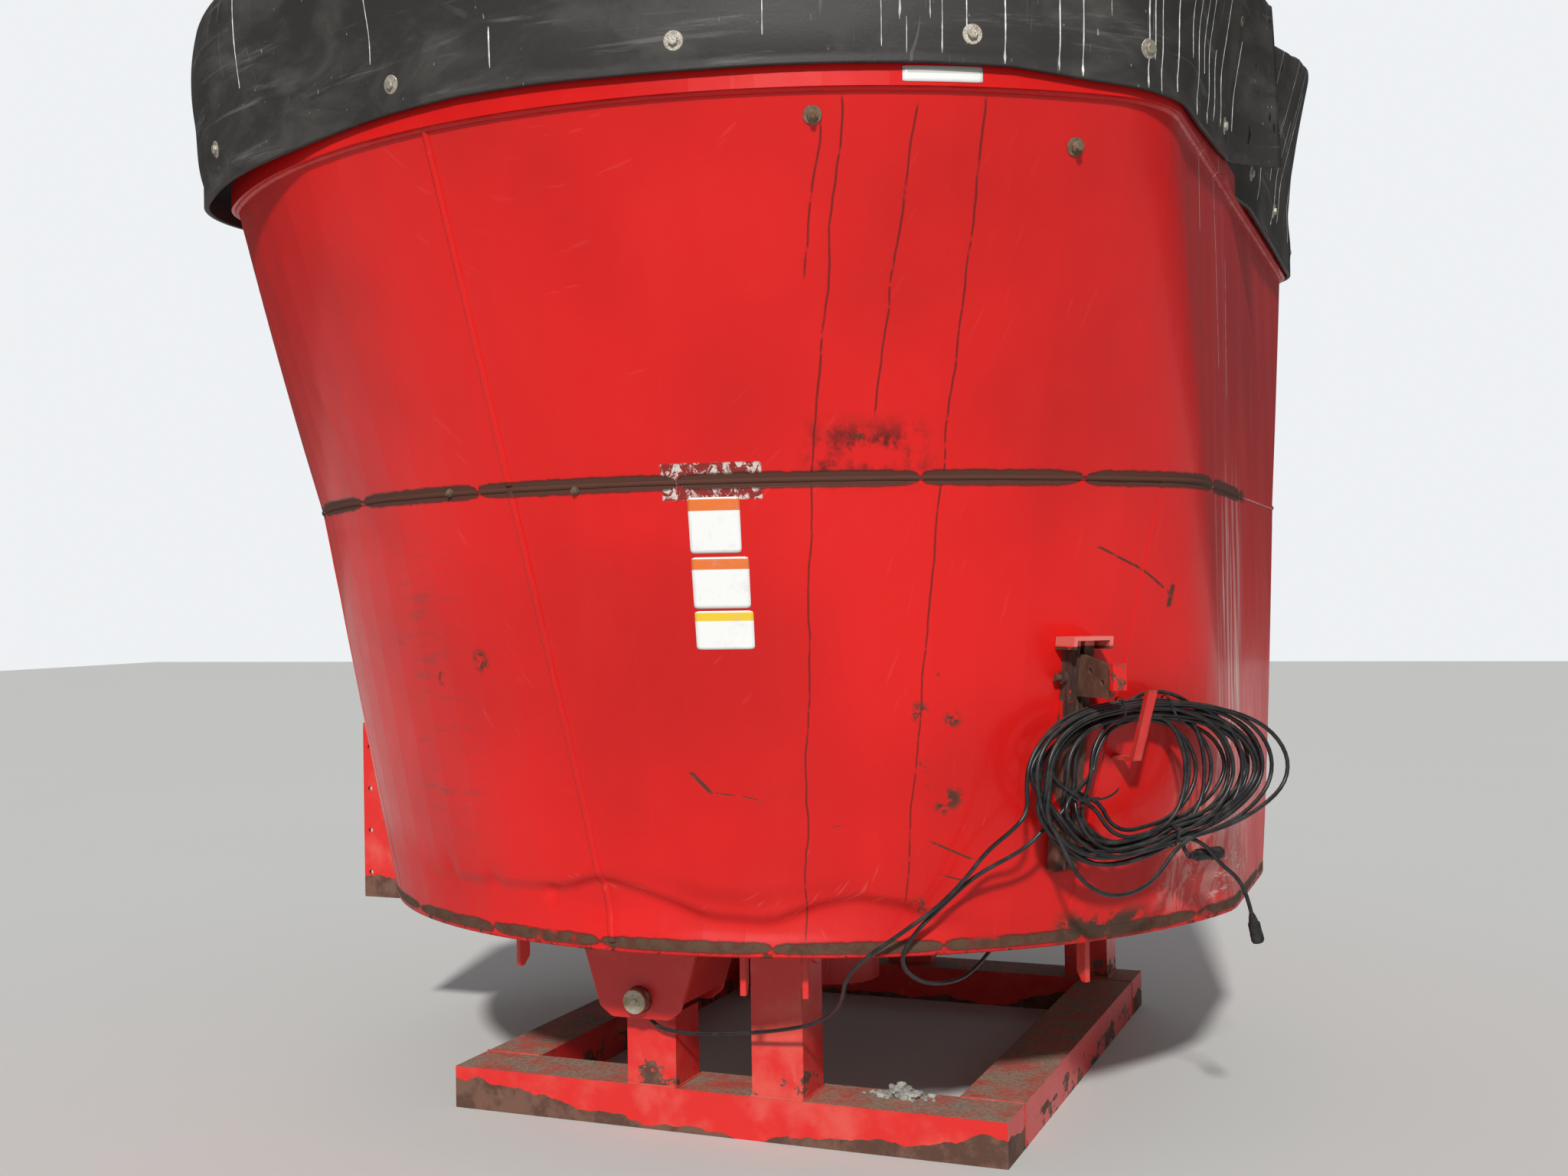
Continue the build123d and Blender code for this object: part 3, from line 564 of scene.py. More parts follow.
metresPerDegree = 0.0227  # along the wall, at its middle height


def tubPlaces(spot):  # the angle in degrees, the height, whether the face looks in, and metres along
    x, y, z = partsOf(spot)
    angle = calc("ARCTAN2", y, x) * 57.29578
    inside = rise(dot(facing(spot.tree), joined(x, y)), 0.0, -0.2)
    return {"Angle": angle, "Height": z, "Inside": inside, "Along": angle * metresPerDegree}


def paintChips(spot, scale, cover, ragged):  # ragged flakes, more of them as the cover grows
    flakes = grain(spot, scale, 5.0, 0.62) * 0.8 + grain(spot, scale * 7.0, 3.0, 0.6) * (ragged * 0.3)
    line = 0.92 - cover * 0.75
    return {"Mask": rise(flakes, line, line + 0.012), "Rim": rise(flakes, line - 0.02, line)}


def settledDust(spot, amount, scale):  # on what faces up
    patchy = rise(grain(spot, scale, 6.0, 0.65), 0.28, 0.62)
    return {"Mask": rise(partsOf(facing(spot.tree))[2], 0.35, 0.9) * amount * (0.35 + patchy * 0.65)}


def driedRuns(spot, scale, amount, stretch):  # thin upright runs of dried water
    x, y, z = partsOf(spot)
    line = 0.86 - amount * 0.4
    lines = rise(grain(joined(x, y, z * stretch), scale, 3.0, 0.6), line, line + 0.05)
    return {"Mask": lines * rise(grain(spot, 3.0, 3.0, 0.6), 0.36, 0.62)}


def wornEdges(spot, width, amount, scale):
    rounded = Wire(addNode(spot.tree, "Bevel", width, samples=4).outputs[0])
    edge = rise(1.0 - dot(rounded, facing(spot.tree)), 0.02, 0.16)
    return {"Mask": edge * rise(grain(spot, scale, 5.0, 0.65), 0.56, 0.44) * amount}


def fineScratches(spot, scale, amount):  # in several directions
    found = []
    for turn, squeeze in ((0.4, 26.0), (1.3, 34.0), (2.3, 22.0)):
        spun = mapped(spot, (turn, turn * 0.7, turn * 1.9), (1.0, squeeze, 1.0))
        found.append(rise(grain(spun, scale, 2.0, 0.5), 0.70, 0.74))
    return {"Mask": anyOf(*found) * rise(grain(spot, scale * 0.6, 2.0), 0.6, 0.4) * amount}


tubPlace = makeGroup("tub place", {}, tubPlaces)
chips = makeGroup("paint chips", {"Scale": 12.0, "Cover": 0.2, "Ragged": 0.5}, paintChips)
dust = makeGroup("settled dust", {"Amount": 0.7, "Scale": 9.0}, settledDust)
runs = makeGroup("dried runs", {"Scale": 14.0, "Amount": 0.5, "Stretch": 0.05}, driedRuns)
edgeWear = makeGroup("edge wear", {"Width": 0.006, "Amount": 0.6, "Scale": 18.0}, wornEdges)
scratches = makeGroup("fine scratches", {"Scale": 6.0, "Amount": 0.5}, fineScratches)
print("shader groups made")


def newMaterial(name, **fixed):
    # a material, its shader with the values that are the same all over it, and places on the object
    made = bpy.data.materials.new(name)
    made.use_nodes = True
    tree = made.node_tree
    tree.nodes.clear()
    shader = addNode(tree, "BsdfPrincipled")
    addNode(tree, "OutputMaterial", Wire(shader.outputs[0]))
    feedAll(shader, **fixed)
    return made, shader, Wire(addNode(tree, "TexCoord").outputs["Object"])


def dress(shader, color, roughness, relief, strength, deep, metallic=None, coat=None):
    feedAll(shader, Base_Color=color, Roughness=roughness, Metallic=metallic, Coat_Weight=coat)
    bump = addNode(shader.id_data, "Bump")
    feedAll(bump, Strength=strength, Distance=deep, Height=relief)
    feed(shader.inputs["Normal"], Wire(bump.outputs[0]))


def window(angle, height, edges, soft):
    # 1 inside a patch of wall given by two angles and two heights
    first, last, low, high = edges
    wide = soft / metresPerDegree
    upright = rise(height, low - soft, low + soft) * rise(height, high + soft, high - soft)
    return rise(angle, first - wide, first + wide) * rise(angle, last + wide, last - wide) * upright


def stroke(angle, height, ends, width, soft=0.01):
    # a line on the wall from one angle and height to another
    (a0, z0), (a1, z1) = ends
    away = calc("ABSOLUTE", angle - ((height - z0) / (z1 - z0) * (a1 - a0) + a0)) * metresPerDegree
    low, high = min(z0, z1), max(z0, z1)
    upright = rise(height, low - soft, low + soft) * rise(height, high + soft, high - soft)
    return rise(away, width, width * 0.3) * upright


def lozenges(along, away, pitch, half, shift):
    # long burnt patches that follow a weld, one after the other
    step = calc("FRACT", along / pitch + shift) - 0.5
    shape = 1.0 - calc("POWER", calc("ABSOLUTE", step * 2.04), 8.0)
    edge = calc("ABSOLUTE", away) - calc("SQRT", calc("MAXIMUM", shape, 0.0)) * half
    return rise(edge, 0.001, -0.001), rise(edge, 0.006, 0.001)


tubPaintValues = {
    "red": (0.66, 0.0085, 0.007),
    "deepRed": (0.50, 0.006, 0.005),
    "brightRed": (0.72, 0.030, 0.022),
    # painted shade colour for the tub's upper right
    "paintedShadeRed": (0.30, 0.020, 0.026),
    "palePink": (0.62, 0.20, 0.17),
    "rust": (0.085, 0.030, 0.018),
    "primer": (0.082, 0.031, 0.020),
    "burnt": (0.028, 0.010, 0.008),
    "runColor": (0.11, 0.008, 0.007),
    "steel": (0.26, 0.235, 0.21),
    "seamHalf": 0.0135,
    "seamPitch": 0.43,
    "bottomHalf": 0.0108,
    "bottomPitch": 0.39,
    "bottomUp": 0.0205,
    "roughness": 0.22,
    "facet": 4.6,
    "facetDepth": 0.85,
    "darkRuns": (  # each from an angle and height to another
        ((-67.5, 2.175), (-70.3, 1.488)), ((-70.3, 1.500), (-71.9, 0.536)), ((-57.3, 2.175), (-61.7, 0.615)),
        ((-69.2, 2.13), (-70.6, 1.86)), ((-62.4, 2.16), (-65.0, 1.60)),
    ),
    "whiteRuns": (
        ((-22.2, 2.226), (-20.6, 2.016)), ((-20.6, 2.016), (-19.9, 1.756)), ((-13.5, 2.026), (-14.2, 1.699)),
        ((-30.6, 2.203), (-30.6, 2.022)),
    ),
    "gouges": (
        ((-82.7, 0.890), (-80.6, 0.846)), ((-80.8, 0.850), (-76.0, 0.826)), ((-43.9, 1.336), (-39.6, 1.292)),
        ((-39.8, 1.296), (-34.6, 1.238)), ((-34.6, 1.262), (-34.9, 1.214)), ((-59.2, 0.742), (-54.8, 0.700)),
        ((-58.2, 0.668), (-55.0, 0.648)), ((-68.3, 0.772), (-69.0, 0.768)),
    ),
    "rustSpots": (  # angle, height, radius
        (-60.8, 1.011, 0.028), (-57.5, 0.995, 0.026), (-60.3, 0.900, 0.020), (-57.3, 0.829, 0.034),
        (-58.2, 0.812, 0.024), (-60.4, 0.603, 0.030), (-58.9, 1.088, 0.010), (-59.8, 0.852, 0.010),
        (-105.5, 1.120, 0.034), (-66.4, 1.560, 0.012), (-112.0, 1.080, 0.022),
    ),
}


def makeTubPaint(values):
    made, shader, spot = newMaterial("tub_paint", Coat_Roughness=0.12, IOR=1.5, Specular_IOR_Level=0.26)
    angle, height, inside, along = use(tubPlace, spot)
    coarse, ragged = grain(spot, 1.4, 3.0, 0.5), grain(spot, 42.0, 4.0, 0.65)
    wobble = grain(spot, 3.0, 2.0)

    def patch(edges, soft, low, high, *noises, **more):  # a window with a broken edge
        return window(angle, height, edges, soft) * rise(grain(spot, *noises, **more), low, high)

    def strokes(name, wide, lean, lift, **more):
        return anyOf(*(stroke(angle + lean, height + lift, ends, wide, **more) for ends in values[name]))

    # dust that rain has drawn down, most of it on the right side and under the rim; also painted light on the
    # right side: streaks of painted sky reflection and shade, pale painted glare, and painted shade on its
    # upper part
    mottled = rise(grain(spot, 5.0, 5.0, 0.6, stretch=(1.0, 1.0, 0.25)), 0.5, 0.85)
    rightSide = rise(angle, -42.0, -20.0)
    amount = rightSide * 0.34 + rise(height, 1.5, 2.2) * 0.16 + 0.16
    drawn = use(runs, spot, Scale=9.0, Amount=amount, Stretch=0.03)
    # streaks of painted sky reflection and shade on the right side
    paintedSkyStreaks = rightSide * rise(grain(spot, 6.0, 4.0, stretch=(1.0, 1.0, 0.12)), 0.42, 0.7)
    # pale streaks painted as the sun's glare lower on the right side
    paintedGlare = patch((-23.0, -6.0, 0.80, 1.50), 0.10, 0.50, 0.60, 26.0, 4.0, 0.6, stretch=(1.0, 1.0, 0.05))
    # painted shade: the upper right of the tub darkened
    paintedUpperShade = rise(angle, -58.0, -30.0) * rise(height, 1.0, 1.9)

    # rubbed and scraped places
    rubbed = use(scratches, spot, Scale=7.0, Amount=0.6) * (0.10 + rise(height, 1.0, 0.6) * 0.16)
    scraped = window(angle, height, (-31.0, -2.0, 0.555, 0.800), 0.05)
    torn = scraped * rise(grain(spot, 15.0, 7.0, 0.72, 1.6, (1.0, 1.0, 0.6)), 0.47, 0.56)
    whitened = patch((-22.0, -8.0, 0.545, 0.640), 0.03, 0.56, 0.62, 30.0, 4.0, 0.7, stretch=(1.0, 0.6, 3.0))
    scuffed = patch((-120.0, -109.0, 0.75, 1.35), 0.08, 0.52, 0.66, 14.0, 5.0, 0.7, stretch=(0.5, 0.5, 3.0))

    # runs below the bolts and the rim, soot above the middle seam, marks cut into the paint, rust
    broken = rise(ragged, 0.30, 0.46)
    darkened = strokes("darkRuns", 0.0030, (grain(spot, 7.0, 2.0) - 0.5) * 0.9, 0.0) * broken
    paled = strokes("whiteRuns", 0.0034, (wobble - 0.5) * 0.8, 0.0) * broken
    soot = patch((-70.5, -60.5, 1.478, 1.580), 0.035, 0.42, 0.62, 17.0, 6.0, 0.68, stretch=(1.0, 1.0, 0.8))
    gouged = strokes("gouges", 0.010, 0.0, (wobble - 0.5) * 0.05, soft=0.003) * rise(ragged, 0.34, 0.5)
    rusted = None
    for a, z, radius in values["rustSpots"]:
        sideways, upwards = (angle - a) * metresPerDegree, height - z
        away = calc("SQRT", sideways * sideways + upwards * upwards)
        one = rise(away, radius, radius * 0.3) * rise(ragged, 0.47, 0.54)
        rusted = anyOf(rusted, one) if rusted else one

    # glue and paper left by an old sticker over the seam
    residue = window(angle, height, (-83.4, -74.6, 1.444, 1.516), 0.002)
    shreds = residue * rise(grain(spot, 30.0, 6.0, 0.75, 1.2, (1.0, 1.0, 0.7)), 0.50, 0.53)

    # burnt, primed patches along the welds, and chips and caked dirt at the foot
    jitter = (ragged - 0.5) * 0.010
    seamAway = height - tub["seamZ"] + jitter
    body, rim = lozenges(along, seamAway, values["seamPitch"], values["seamHalf"], wobble * 0.7)
    frontOnly = rise(angle, 2.0, -4.0) * rise(angle, -176.0, -168.0)
    body, rim = body * frontOnly, rim * frontOnly
    footAway = height - (tub["floorZ"] + values["bottomUp"]) + jitter
    footBody, footRim = lozenges(along, footAway, values["bottomPitch"], values["bottomHalf"], wobble * 0.9)
    patchy = rise(grain(spot, 5.0, 3.0), 0.30, 0.36)
    footBody, footRim = footBody * patchy, footRim * patchy
    caked = patch((-45.0, -33.0, 0.500, 0.562), 0.02, 0.40, 0.52, 24.0, 6.0, 0.7)
    flaked = use(chips, spot, Scale=30.0, Cover=rise(height, 0.535, 0.50) * 0.46, Ragged=0.8)[0]

    # bare steel inside, rubbed by the forage
    scoured = rise(grain(spot, 8.0, 5.0, 0.6, stretch=(0.6, 0.6, 4.0)), 0.3, 0.75)
    stained = tint(rise(coarse, 0.4, 0.6), (0.30, 0.05, 0.035), (0.16, 0.075, 0.045))
    innerColor = tint(scoured, values["steel"], (0.17, 0.12, 0.085))
    color = layered(
        tint(rise(coarse, 0.35, 0.7), values["red"], values["deepRed"]),
        (mottled * 0.22, values["brightRed"]),
        (drawn * 0.42, values["palePink"]),
        # painted light on the right side: sky reflection streaks, glare and shade
        (paintedSkyStreaks * 0.26, (0.34, 0.10, 0.10)),
        (paintedGlare * 0.80, (0.70, 0.52, 0.49)),
        (paintedUpperShade * 0.42, values["paintedShadeRed"]),
        (rubbed, (0.66, 0.20, 0.17)),
        (scraped * 0.30, (0.60, 0.11, 0.09)),
        (torn * 0.72, (0.62, 0.27, 0.24)),
        (whitened * 0.8, (0.62, 0.45, 0.40)),
        (scuffed * 0.5, (0.20, 0.035, 0.03)),
        (darkened * 0.85, values["runColor"]),
        (paled * 0.75, (0.66, 0.56, 0.54)),
        (soot * 0.92, values["burnt"]),
        (gouged, values["rust"]),
        (rusted, values["rust"]),
        (residue * 0.9, (0.20, 0.02, 0.016)),
        (shreds, (0.62, 0.55, 0.50)),
        (rim * 0.85, values["burnt"]),
        (body, tint(rise(ragged, 0.42, 0.62), values["primer"], values["rust"])),
        (footRim * 0.8, values["burnt"]),
        (footBody, tint(rise(ragged, 0.4, 0.65), (0.095, 0.050, 0.028), values["rust"])),
        (caked, (0.062, 0.032, 0.020)),
        (flaked, values["rust"]),
        (inside, tint(rise(height, 1.6, 2.3), innerColor, stained)),
    )

    dull = anyOf(body, footBody, caked, gouged, rusted, soot, flaked)
    rough = values["roughness"] + grain(spot, 11.0, 5.0, 0.65) * 0.20 + anyOf(drawn, torn, paintedSkyStreaks) * 0.22
    rough = between(dull, rough + rise(height, 0.74, 0.62) * 0.20, 0.78)
    # the plate was pressed into its curve, which leaves flats; all heights are in metres
    flat = (calc("FRACT", angle / values["facet"]) - 0.5) * radians(values["facet"])
    waves = grain(spot, 2.6, 2.0, stretch=(1.0, 1.0, 0.4)) * 0.0028
    waves = waves + flat * flat * (0.66 * values["facetDepth"])
    relief = waves + grain(spot, 160.0, 2.0) * 0.00004 + anyOf(body, footBody, gouged, flaked) * -0.0005
    dress(shader, color, between(inside, rough, 0.34 + scoured * 0.3), relief, 1.0, 1.0,
          inside * rise(height, 2.0, 1.4), (1.0 - inside) * (1.0 - dull) * 0.16)
    return made


frameRed = {
    "red": (0.64, 0.012, 0.009),
    "faded": (0.66, 0.075, 0.055),
    "primer": (0.150, 0.070, 0.045),
    "rust": (0.085, 0.036, 0.022),
    "dust": (0.30, 0.225, 0.155),
}


def makeFrameRed(name, chipCover, dustAmount, worn, lowChips=0.0, lowHeight=0.05, bareEnds=False):
    # red paint of the skid, brackets and small parts
    made, shader, spot = newMaterial(name, Coat_Roughness=0.2, IOR=1.5)
    x, _, z = partsOf(spot)
    level = z + (grain(spot, 5.0, 4.0, 0.6) - 0.5) * 0.10
    if bareEnds:  # more of the front is bare towards both ends
        level = level - (rise(x, -0.10, -0.72) * 0.062 + rise(x, 0.18, 0.66) * 0.046 - 0.036)
    low = rise(level, lowHeight + 0.008, lowHeight - 0.008)
    flakes, rim = use(chips, spot, Scale=9.0, Cover=chipCover + low * lowChips, Ragged=0.9)
    bare = anyOf(flakes, use(chips, spot, Scale=48.0, Cover=chipCover + 0.12, Ragged=0.7)[0])
    edges = use(edgeWear, spot, Width=0.007, Amount=worn, Scale=20.0)
    settled = use(dust, spot, Amount=dustAmount, Scale=12.0)
    color = layered(
        tint(rise(grain(spot, 7.0, 4.0, 0.6), 0.45, 0.75), frameRed["red"], frameRed["faded"]),
        (rim * 0.35, frameRed["rust"]),
        (bare, tint(rise(grain(spot, 16.0, 5.0, 0.65), 0.42, 0.6), frameRed["primer"], frameRed["rust"])),
        (edges, frameRed["rust"]),
        (use(scratches, spot, Scale=11.0, Amount=0.5) * 0.5, (0.62, 0.24, 0.19)),
        (settled, tint(rise(grain(spot, 90.0, 3.0, 0.7), 0.4, 0.65), frameRed["dust"], (0.19, 0.135, 0.095))),
    )
    dull = anyOf(bare, edges, settled)
    relief = bare * -0.5 + grain(spot, 70.0, 3.0, 0.6) * 0.25 + settled * (grain(spot, 60.0, 3.0, 0.7) * 0.9)
    rough = between(dull, 0.30 + grain(spot, 14.0, 5.0, 0.65) * 0.22, 0.82)
    dress(shader, color, rough, relief, 0.5, 0.002, coat=(1.0 - dull) * 0.25)
    return made


def makeSleeve():  # rusty below, with some paint left, and pale red on its hood
    made, shader, spot = newMaterial("rusty_sleeve")
    hood = rise(partsOf(spot)[2], 1.136, 1.142)
    streaks = grain(spot, 24.0, 6.0, 0.68, stretch=(1.0, 1.0, 0.25))
    painted = rise(grain(spot, 13.0, 6.0, 0.66, stretch=(1.0, 1.0, 0.5)) + hood * 0.5, 0.56, 0.585)
    color = layered(
        tint(rise(streaks, 0.36, 0.62), (0.034, 0.013, 0.009), (0.120, 0.046, 0.026)),
        (painted, tint(hood, frameRed["red"], (0.70, 0.16, 0.13))),
        (use(chips, spot, Scale=50.0, Cover=0.30, Ragged=0.9)[0] * 0.8, (0.07, 0.03, 0.02)),
    )
    dress(shader, color, between(painted, 0.85, 0.42), painted * 0.5 + streaks * 0.6, 0.6, 0.0012)
    return made


def makeBlade():  # rusty plate with what is left of the red paint on its end bar
    made, shader, spot = newMaterial("rusty_blade")
    x, y, _ = partsOf(spot)
    endBar = rise(calc("SQRT", x * x + y * y), 1.408, 1.416)
    stains = rise(grain(spot, 16.0, 6.0, 0.66), 0.36, 0.66)
    paint = endBar * rise(grain(spot, 60.0, 5.0, 0.7), 0.44, 0.48)
    brown = tint(stains, (0.135, 0.062, 0.034), (0.060, 0.026, 0.016))
    dress(shader, tint(paint, brown, frameRed["red"]), between(paint, 0.72, 0.40), stains, 0.5, 0.001)
    return made


def makeRubber():
    made, shader, spot = newMaterial("belt_rubber", Specular_IOR_Level=0.35)
    angle, _, inside, _ = use(tubPlace, spot)
    grey = rise(grain(spot, 4.0, 6.0, 0.65, 0.6, (1.0, 1.0, 2.0)), 0.40, 0.72)
    smears = rise(grain(spot, 6.0, 5.0, 0.65, 0.4, (0.5, 0.5, 6.0)), 0.56, 0.74)
    towardRight = rise(calc("ABSOLUTE", angle + 38.0), 52.0, 4.0)
    white = use(runs, spot, Scale=52.0, Amount=0.20 + towardRight * 0.16, Stretch=0.02) * 0.5 * (1.0 - inside)
    specks = rise(grain(spot, 120.0, 2.0, 0.5, stretch=(1.0, 1.0, 0.35)), 0.74, 0.76)
    # cut slits on the second belt, painted near black as the shade inside the cuts
    shadedSlits = rise(grain(spot, 46.0, 2.0, 0.5, stretch=(1.0, 1.0, 0.30)), 0.66, 0.69)
    shadedSlits = rise(angle, -17.0, -13.0) * rise(angle, 60.0, 40.0) * shadedSlits
    cuts = use(scratches, spot, Scale=4.0, Amount=0.8)
    color = layered(
        tint(grey, (0.030, 0.027, 0.025), (0.060, 0.055, 0.050)),
        (smears * 0.5, (0.16, 0.155, 0.15)),
        (white, (0.34, 0.34, 0.33)),
        (specks * 0.45, (0.42, 0.42, 0.41)),
        # painted shade inside the slits
        (shadedSlits, (0.006, 0.006, 0.006)),
        (cuts * 0.6, (0.14, 0.135, 0.13)),
    )
    relief = grain(spot, 120.0, 3.0, 0.6) * 0.3 + anyOf(cuts, shadedSlits) * -0.7 + smears * 0.3
    dress(shader, color, between(white, 0.50 + grey * 0.22, 0.85), relief, 0.5, 0.002)
    return made


def makeWornSteel(name, clean, stained, rusty, metal, roughness, scale):
    made, shader, spot = newMaterial(name)
    fine = rise(grain(spot, scale * 9.0, 5.0, 0.7), 0.40, 0.68)
    rusted = rise(grain(spot, scale * 2.3, 6.0, 0.66), 0.53, 0.63)
    color = layered(
        tint(rise(grain(spot, scale, 6.0, 0.62), 0.36, 0.68), clean, stained),
        (rusted * (0.4 + fine * 0.6), rusty),
        (use(scratches, spot, Scale=scale * 2.0, Amount=0.7) * 0.5, tuple(min(1.0, 1.5 * v) for v in clean)),
    )
    rough = between(rusted, roughness + fine * 0.2, 0.8)
    dress(shader, color, rough, fine * 0.5 + rusted * 0.4, 0.45, 0.0015, metallic=(1.0 - rusted) * metal)
    return made


def makePlastic(name, color, roughness, speckle, dustAmount):
    made, shader, spot = newMaterial(name)
    worn = rise(grain(spot, 30.0, 5.0, 0.65), 0.42, 0.72)
    shade = layered(
        tint(worn, color, tuple(min(1.0, v * 2.1 + 0.012) for v in color)),
        (use(dust, spot, Amount=dustAmount, Scale=40.0), (0.20, 0.175, 0.145)),
    )
    dress(shader, shade, roughness + worn * 0.2, grain(spot, speckle, 3.0, 0.6), 0.18, 0.0008)
    return made


def makeSticker(name, low, high, header, share):
    # a blank plate: white below, one plain band of colour at its head
    made, shader, spot = newMaterial(name, Coat_Weight=0.15)
    z = partsOf(spot)[2]
    line = high - (high - low) * share
    banded = rise(z, line - 0.0006, line + 0.0006) * rise(z, high - 0.003, high - 0.0034)
    dirty = rise(grain(spot, 24.0, 6.0, 0.7), 0.50, 0.75)
    color = layered(
        tint(banded, (0.80, 0.80, 0.78), header),
        (dirty * 0.30, (0.42, 0.36, 0.30)),
        (use(chips, spot, Scale=60.0, Cover=0.26, Ragged=0.8)[0] * 0.7, (0.35, 0.10, 0.08)),
    )
    dress(shader, color, 0.32 + dirty * 0.3, grain(spot, 50.0, 3.0), 0.15, 0.0006)
    return made


tubPaint = makeTubPaint(tubPaintValues)
# cover of chips, dust, worn edges, chips low down, the height that they reach
beamRed = makeFrameRed("beam_red", 0.16, 0.97, 0.30, 0.85, 0.046, True)
railRed = makeFrameRed("rail_red", 0.26, 0.95, 0.8, 0.25, 0.05)
bracketRed = makeFrameRed("bracket_red", 0.14, 0.45, 0.5)
hookRed = makeFrameRed("hook_red", 0.24, 0.3, 0.95)
postRed = makeFrameRed("post_red", 0.12, 0.6, 0.6, 0.36, 0.175)
doorRed = makeFrameRed("door_red", 0.14, 0.5, 0.35, 0.40, 0.47)
rubber = makeRubber()
# clean, stained and rusty colours, how metallic, roughness, scale
steels = {name: makeWornSteel(name, *looks) for name, looks in {
    "worn_steel": ((0.30, 0.28, 0.255), (0.17, 0.145, 0.12), (0.14, 0.065, 0.035), 0.85, 0.34, 6.0),
    "plain_steel": ((0.48, 0.47, 0.44), (0.34, 0.32, 0.29), (0.20, 0.10, 0.05), 0.9, 0.30, 18.0),
    "bolt_steel": ((0.55, 0.52, 0.45), (0.40, 0.36, 0.29), (0.25, 0.13, 0.06), 0.75, 0.38, 40.0),
    "rusty_bolt": ((0.24, 0.17, 0.11), (0.15, 0.09, 0.05), (0.10, 0.045, 0.022), 0.35, 0.6, 50.0),
    "rod_chrome": ((0.72, 0.72, 0.73), (0.60, 0.60, 0.60), (0.40, 0.36, 0.30), 1.0, 0.10, 9.0),
    "bar_end": ((0.56, 0.53, 0.44), (0.42, 0.34, 0.20), (0.22, 0.13, 0.05), 0.55, 0.4, 45.0),
}.items()}
# colour, roughness, how fine its specks are, dust
plastics = {name: makePlastic(name, *looks) for name, looks in {
    "cylinder_black": ((0.018, 0.018, 0.019), 0.34, 90.0, 0.6),
    "cable_black": ((0.009, 0.009, 0.0095), 0.36, 260.0, 0.22),
    "plug_black": ((0.009, 0.009, 0.010), 0.34, 200.0, 0.15),
    "tie_black": ((0.010, 0.010, 0.011), 0.30, 120.0, 0.2),
    "dried_white": ((0.46, 0.46, 0.44), 0.6, 90.0, 0.0),
    "grey_stone": ((0.24, 0.235, 0.21), 0.85, 60.0, 0.3),
}.items()}
print("materials made")

postNames = ("front_post", "stay_post", "rear_left_post", "rear_right_post")
bracketNames = ("front_bracket", "rear_left_bracket", "rear_right_bracket")
finishes = (
    (beamRed, "front_beam", "rear_beam"),
    (railRed, "left_rail", "right_rail"),
    (postRed, *postNames),
    (bracketRed, *bracketNames, "bar_saddles", "stay_lugs", "floor_ribs", "gearbox", "shaft_carrier"),
    (doorRed, "door_frame", "door_tracks", "discharge_door", "cylinder_bracket"),
    (hookRed, "cable_hook"),
    (tubPaint, "rear_lower_wall", "left_lower_wall", "right_lower_wall", "front_upper_wall",
     "rear_upper_wall", "left_upper_wall", "right_upper_wall", "rim_band"),
    (steels["worn_steel"], "tub_floor", "auger_core", "flighting"),
    (steels["plain_steel"], "knives", "weigh_bars", "input_shaft"),
    (steels["rod_chrome"], "cylinder_rod"),
    (plastics["cylinder_black"], "cylinder_barrel"),
    (makeBlade(), "restrictor_blade"),
    (makeSleeve(), "restrictor_sleeve"),
)
for material, *names in finishes:
    for name in names:
        finish(nodes[name], material)
for piece, name in ((frontCable, "cable_black"), (rearCable, "cable_black"),
                    (hangingPlug, "plug_black"), (lyingPlug, "plug_black")):
    finish(piece, plastics[name])
for name in ("front_beam", "rear_beam", "left_rail", "right_rail", *postNames):
    softenEdges(nodes[name], 0.006, 3)
print("finishes given")

# The front wall's lower course: dented, with the slot that the blade slides through
frontWallValues = {
    "columns": 300,
    "leftShare": 0.94,  # of the columns, left of the slot
    "rows": (36, 50, 34),
    "slotAngle": -45.6,
    "slotHalf": 0.008,
    "slotLow": 0.660,
    "slotTop": 1.130,
    "wave": 0.0011,
    "radius": 1.17,
    "held": 0.05,  # it keeps its shape this near the floor and the seam
    "dents": (
        # angle, height, half width, half height, depth
        (-116.5, 0.640, 0.018, 0.026, 0.006), (-109.0, 0.628, 0.020, 0.024, 0.009),
        (-100.6, 0.612, 0.018, 0.022, 0.010), (-94.0, 0.584, 0.052, 0.022, 0.004),
        (-53.0, 0.610, 0.070, 0.030, 0.006), (-52.0, 0.700, 0.110, 0.060, 0.006),
        (-92.0, 0.820, 0.300, 0.160, 0.006), (-60.0, 0.800, 0.200, 0.120, 0.005),
    ),
    "creases": (
        # depth of the step, height of the step, places along it as angle and height
        (0.0185, 0.034, (
            (-118.4, 0.623), (-106.3, 0.625), (-98.5, 0.629), (-94.0, 0.658), (-90.1, 0.639), (-85.5, 0.608),
            (-82.3, 0.580), (-75.3, 0.573), (-71.2, 0.606), (-66.6, 0.626), (-62.0, 0.609), (-58.5, 0.576),
        )),
        (0.0085, 0.050, ((-89.3, 0.673), (-82.1, 0.631), (-77.4, 0.622), (-72.7, 0.639), (-68.1, 0.654))),
    ),
}


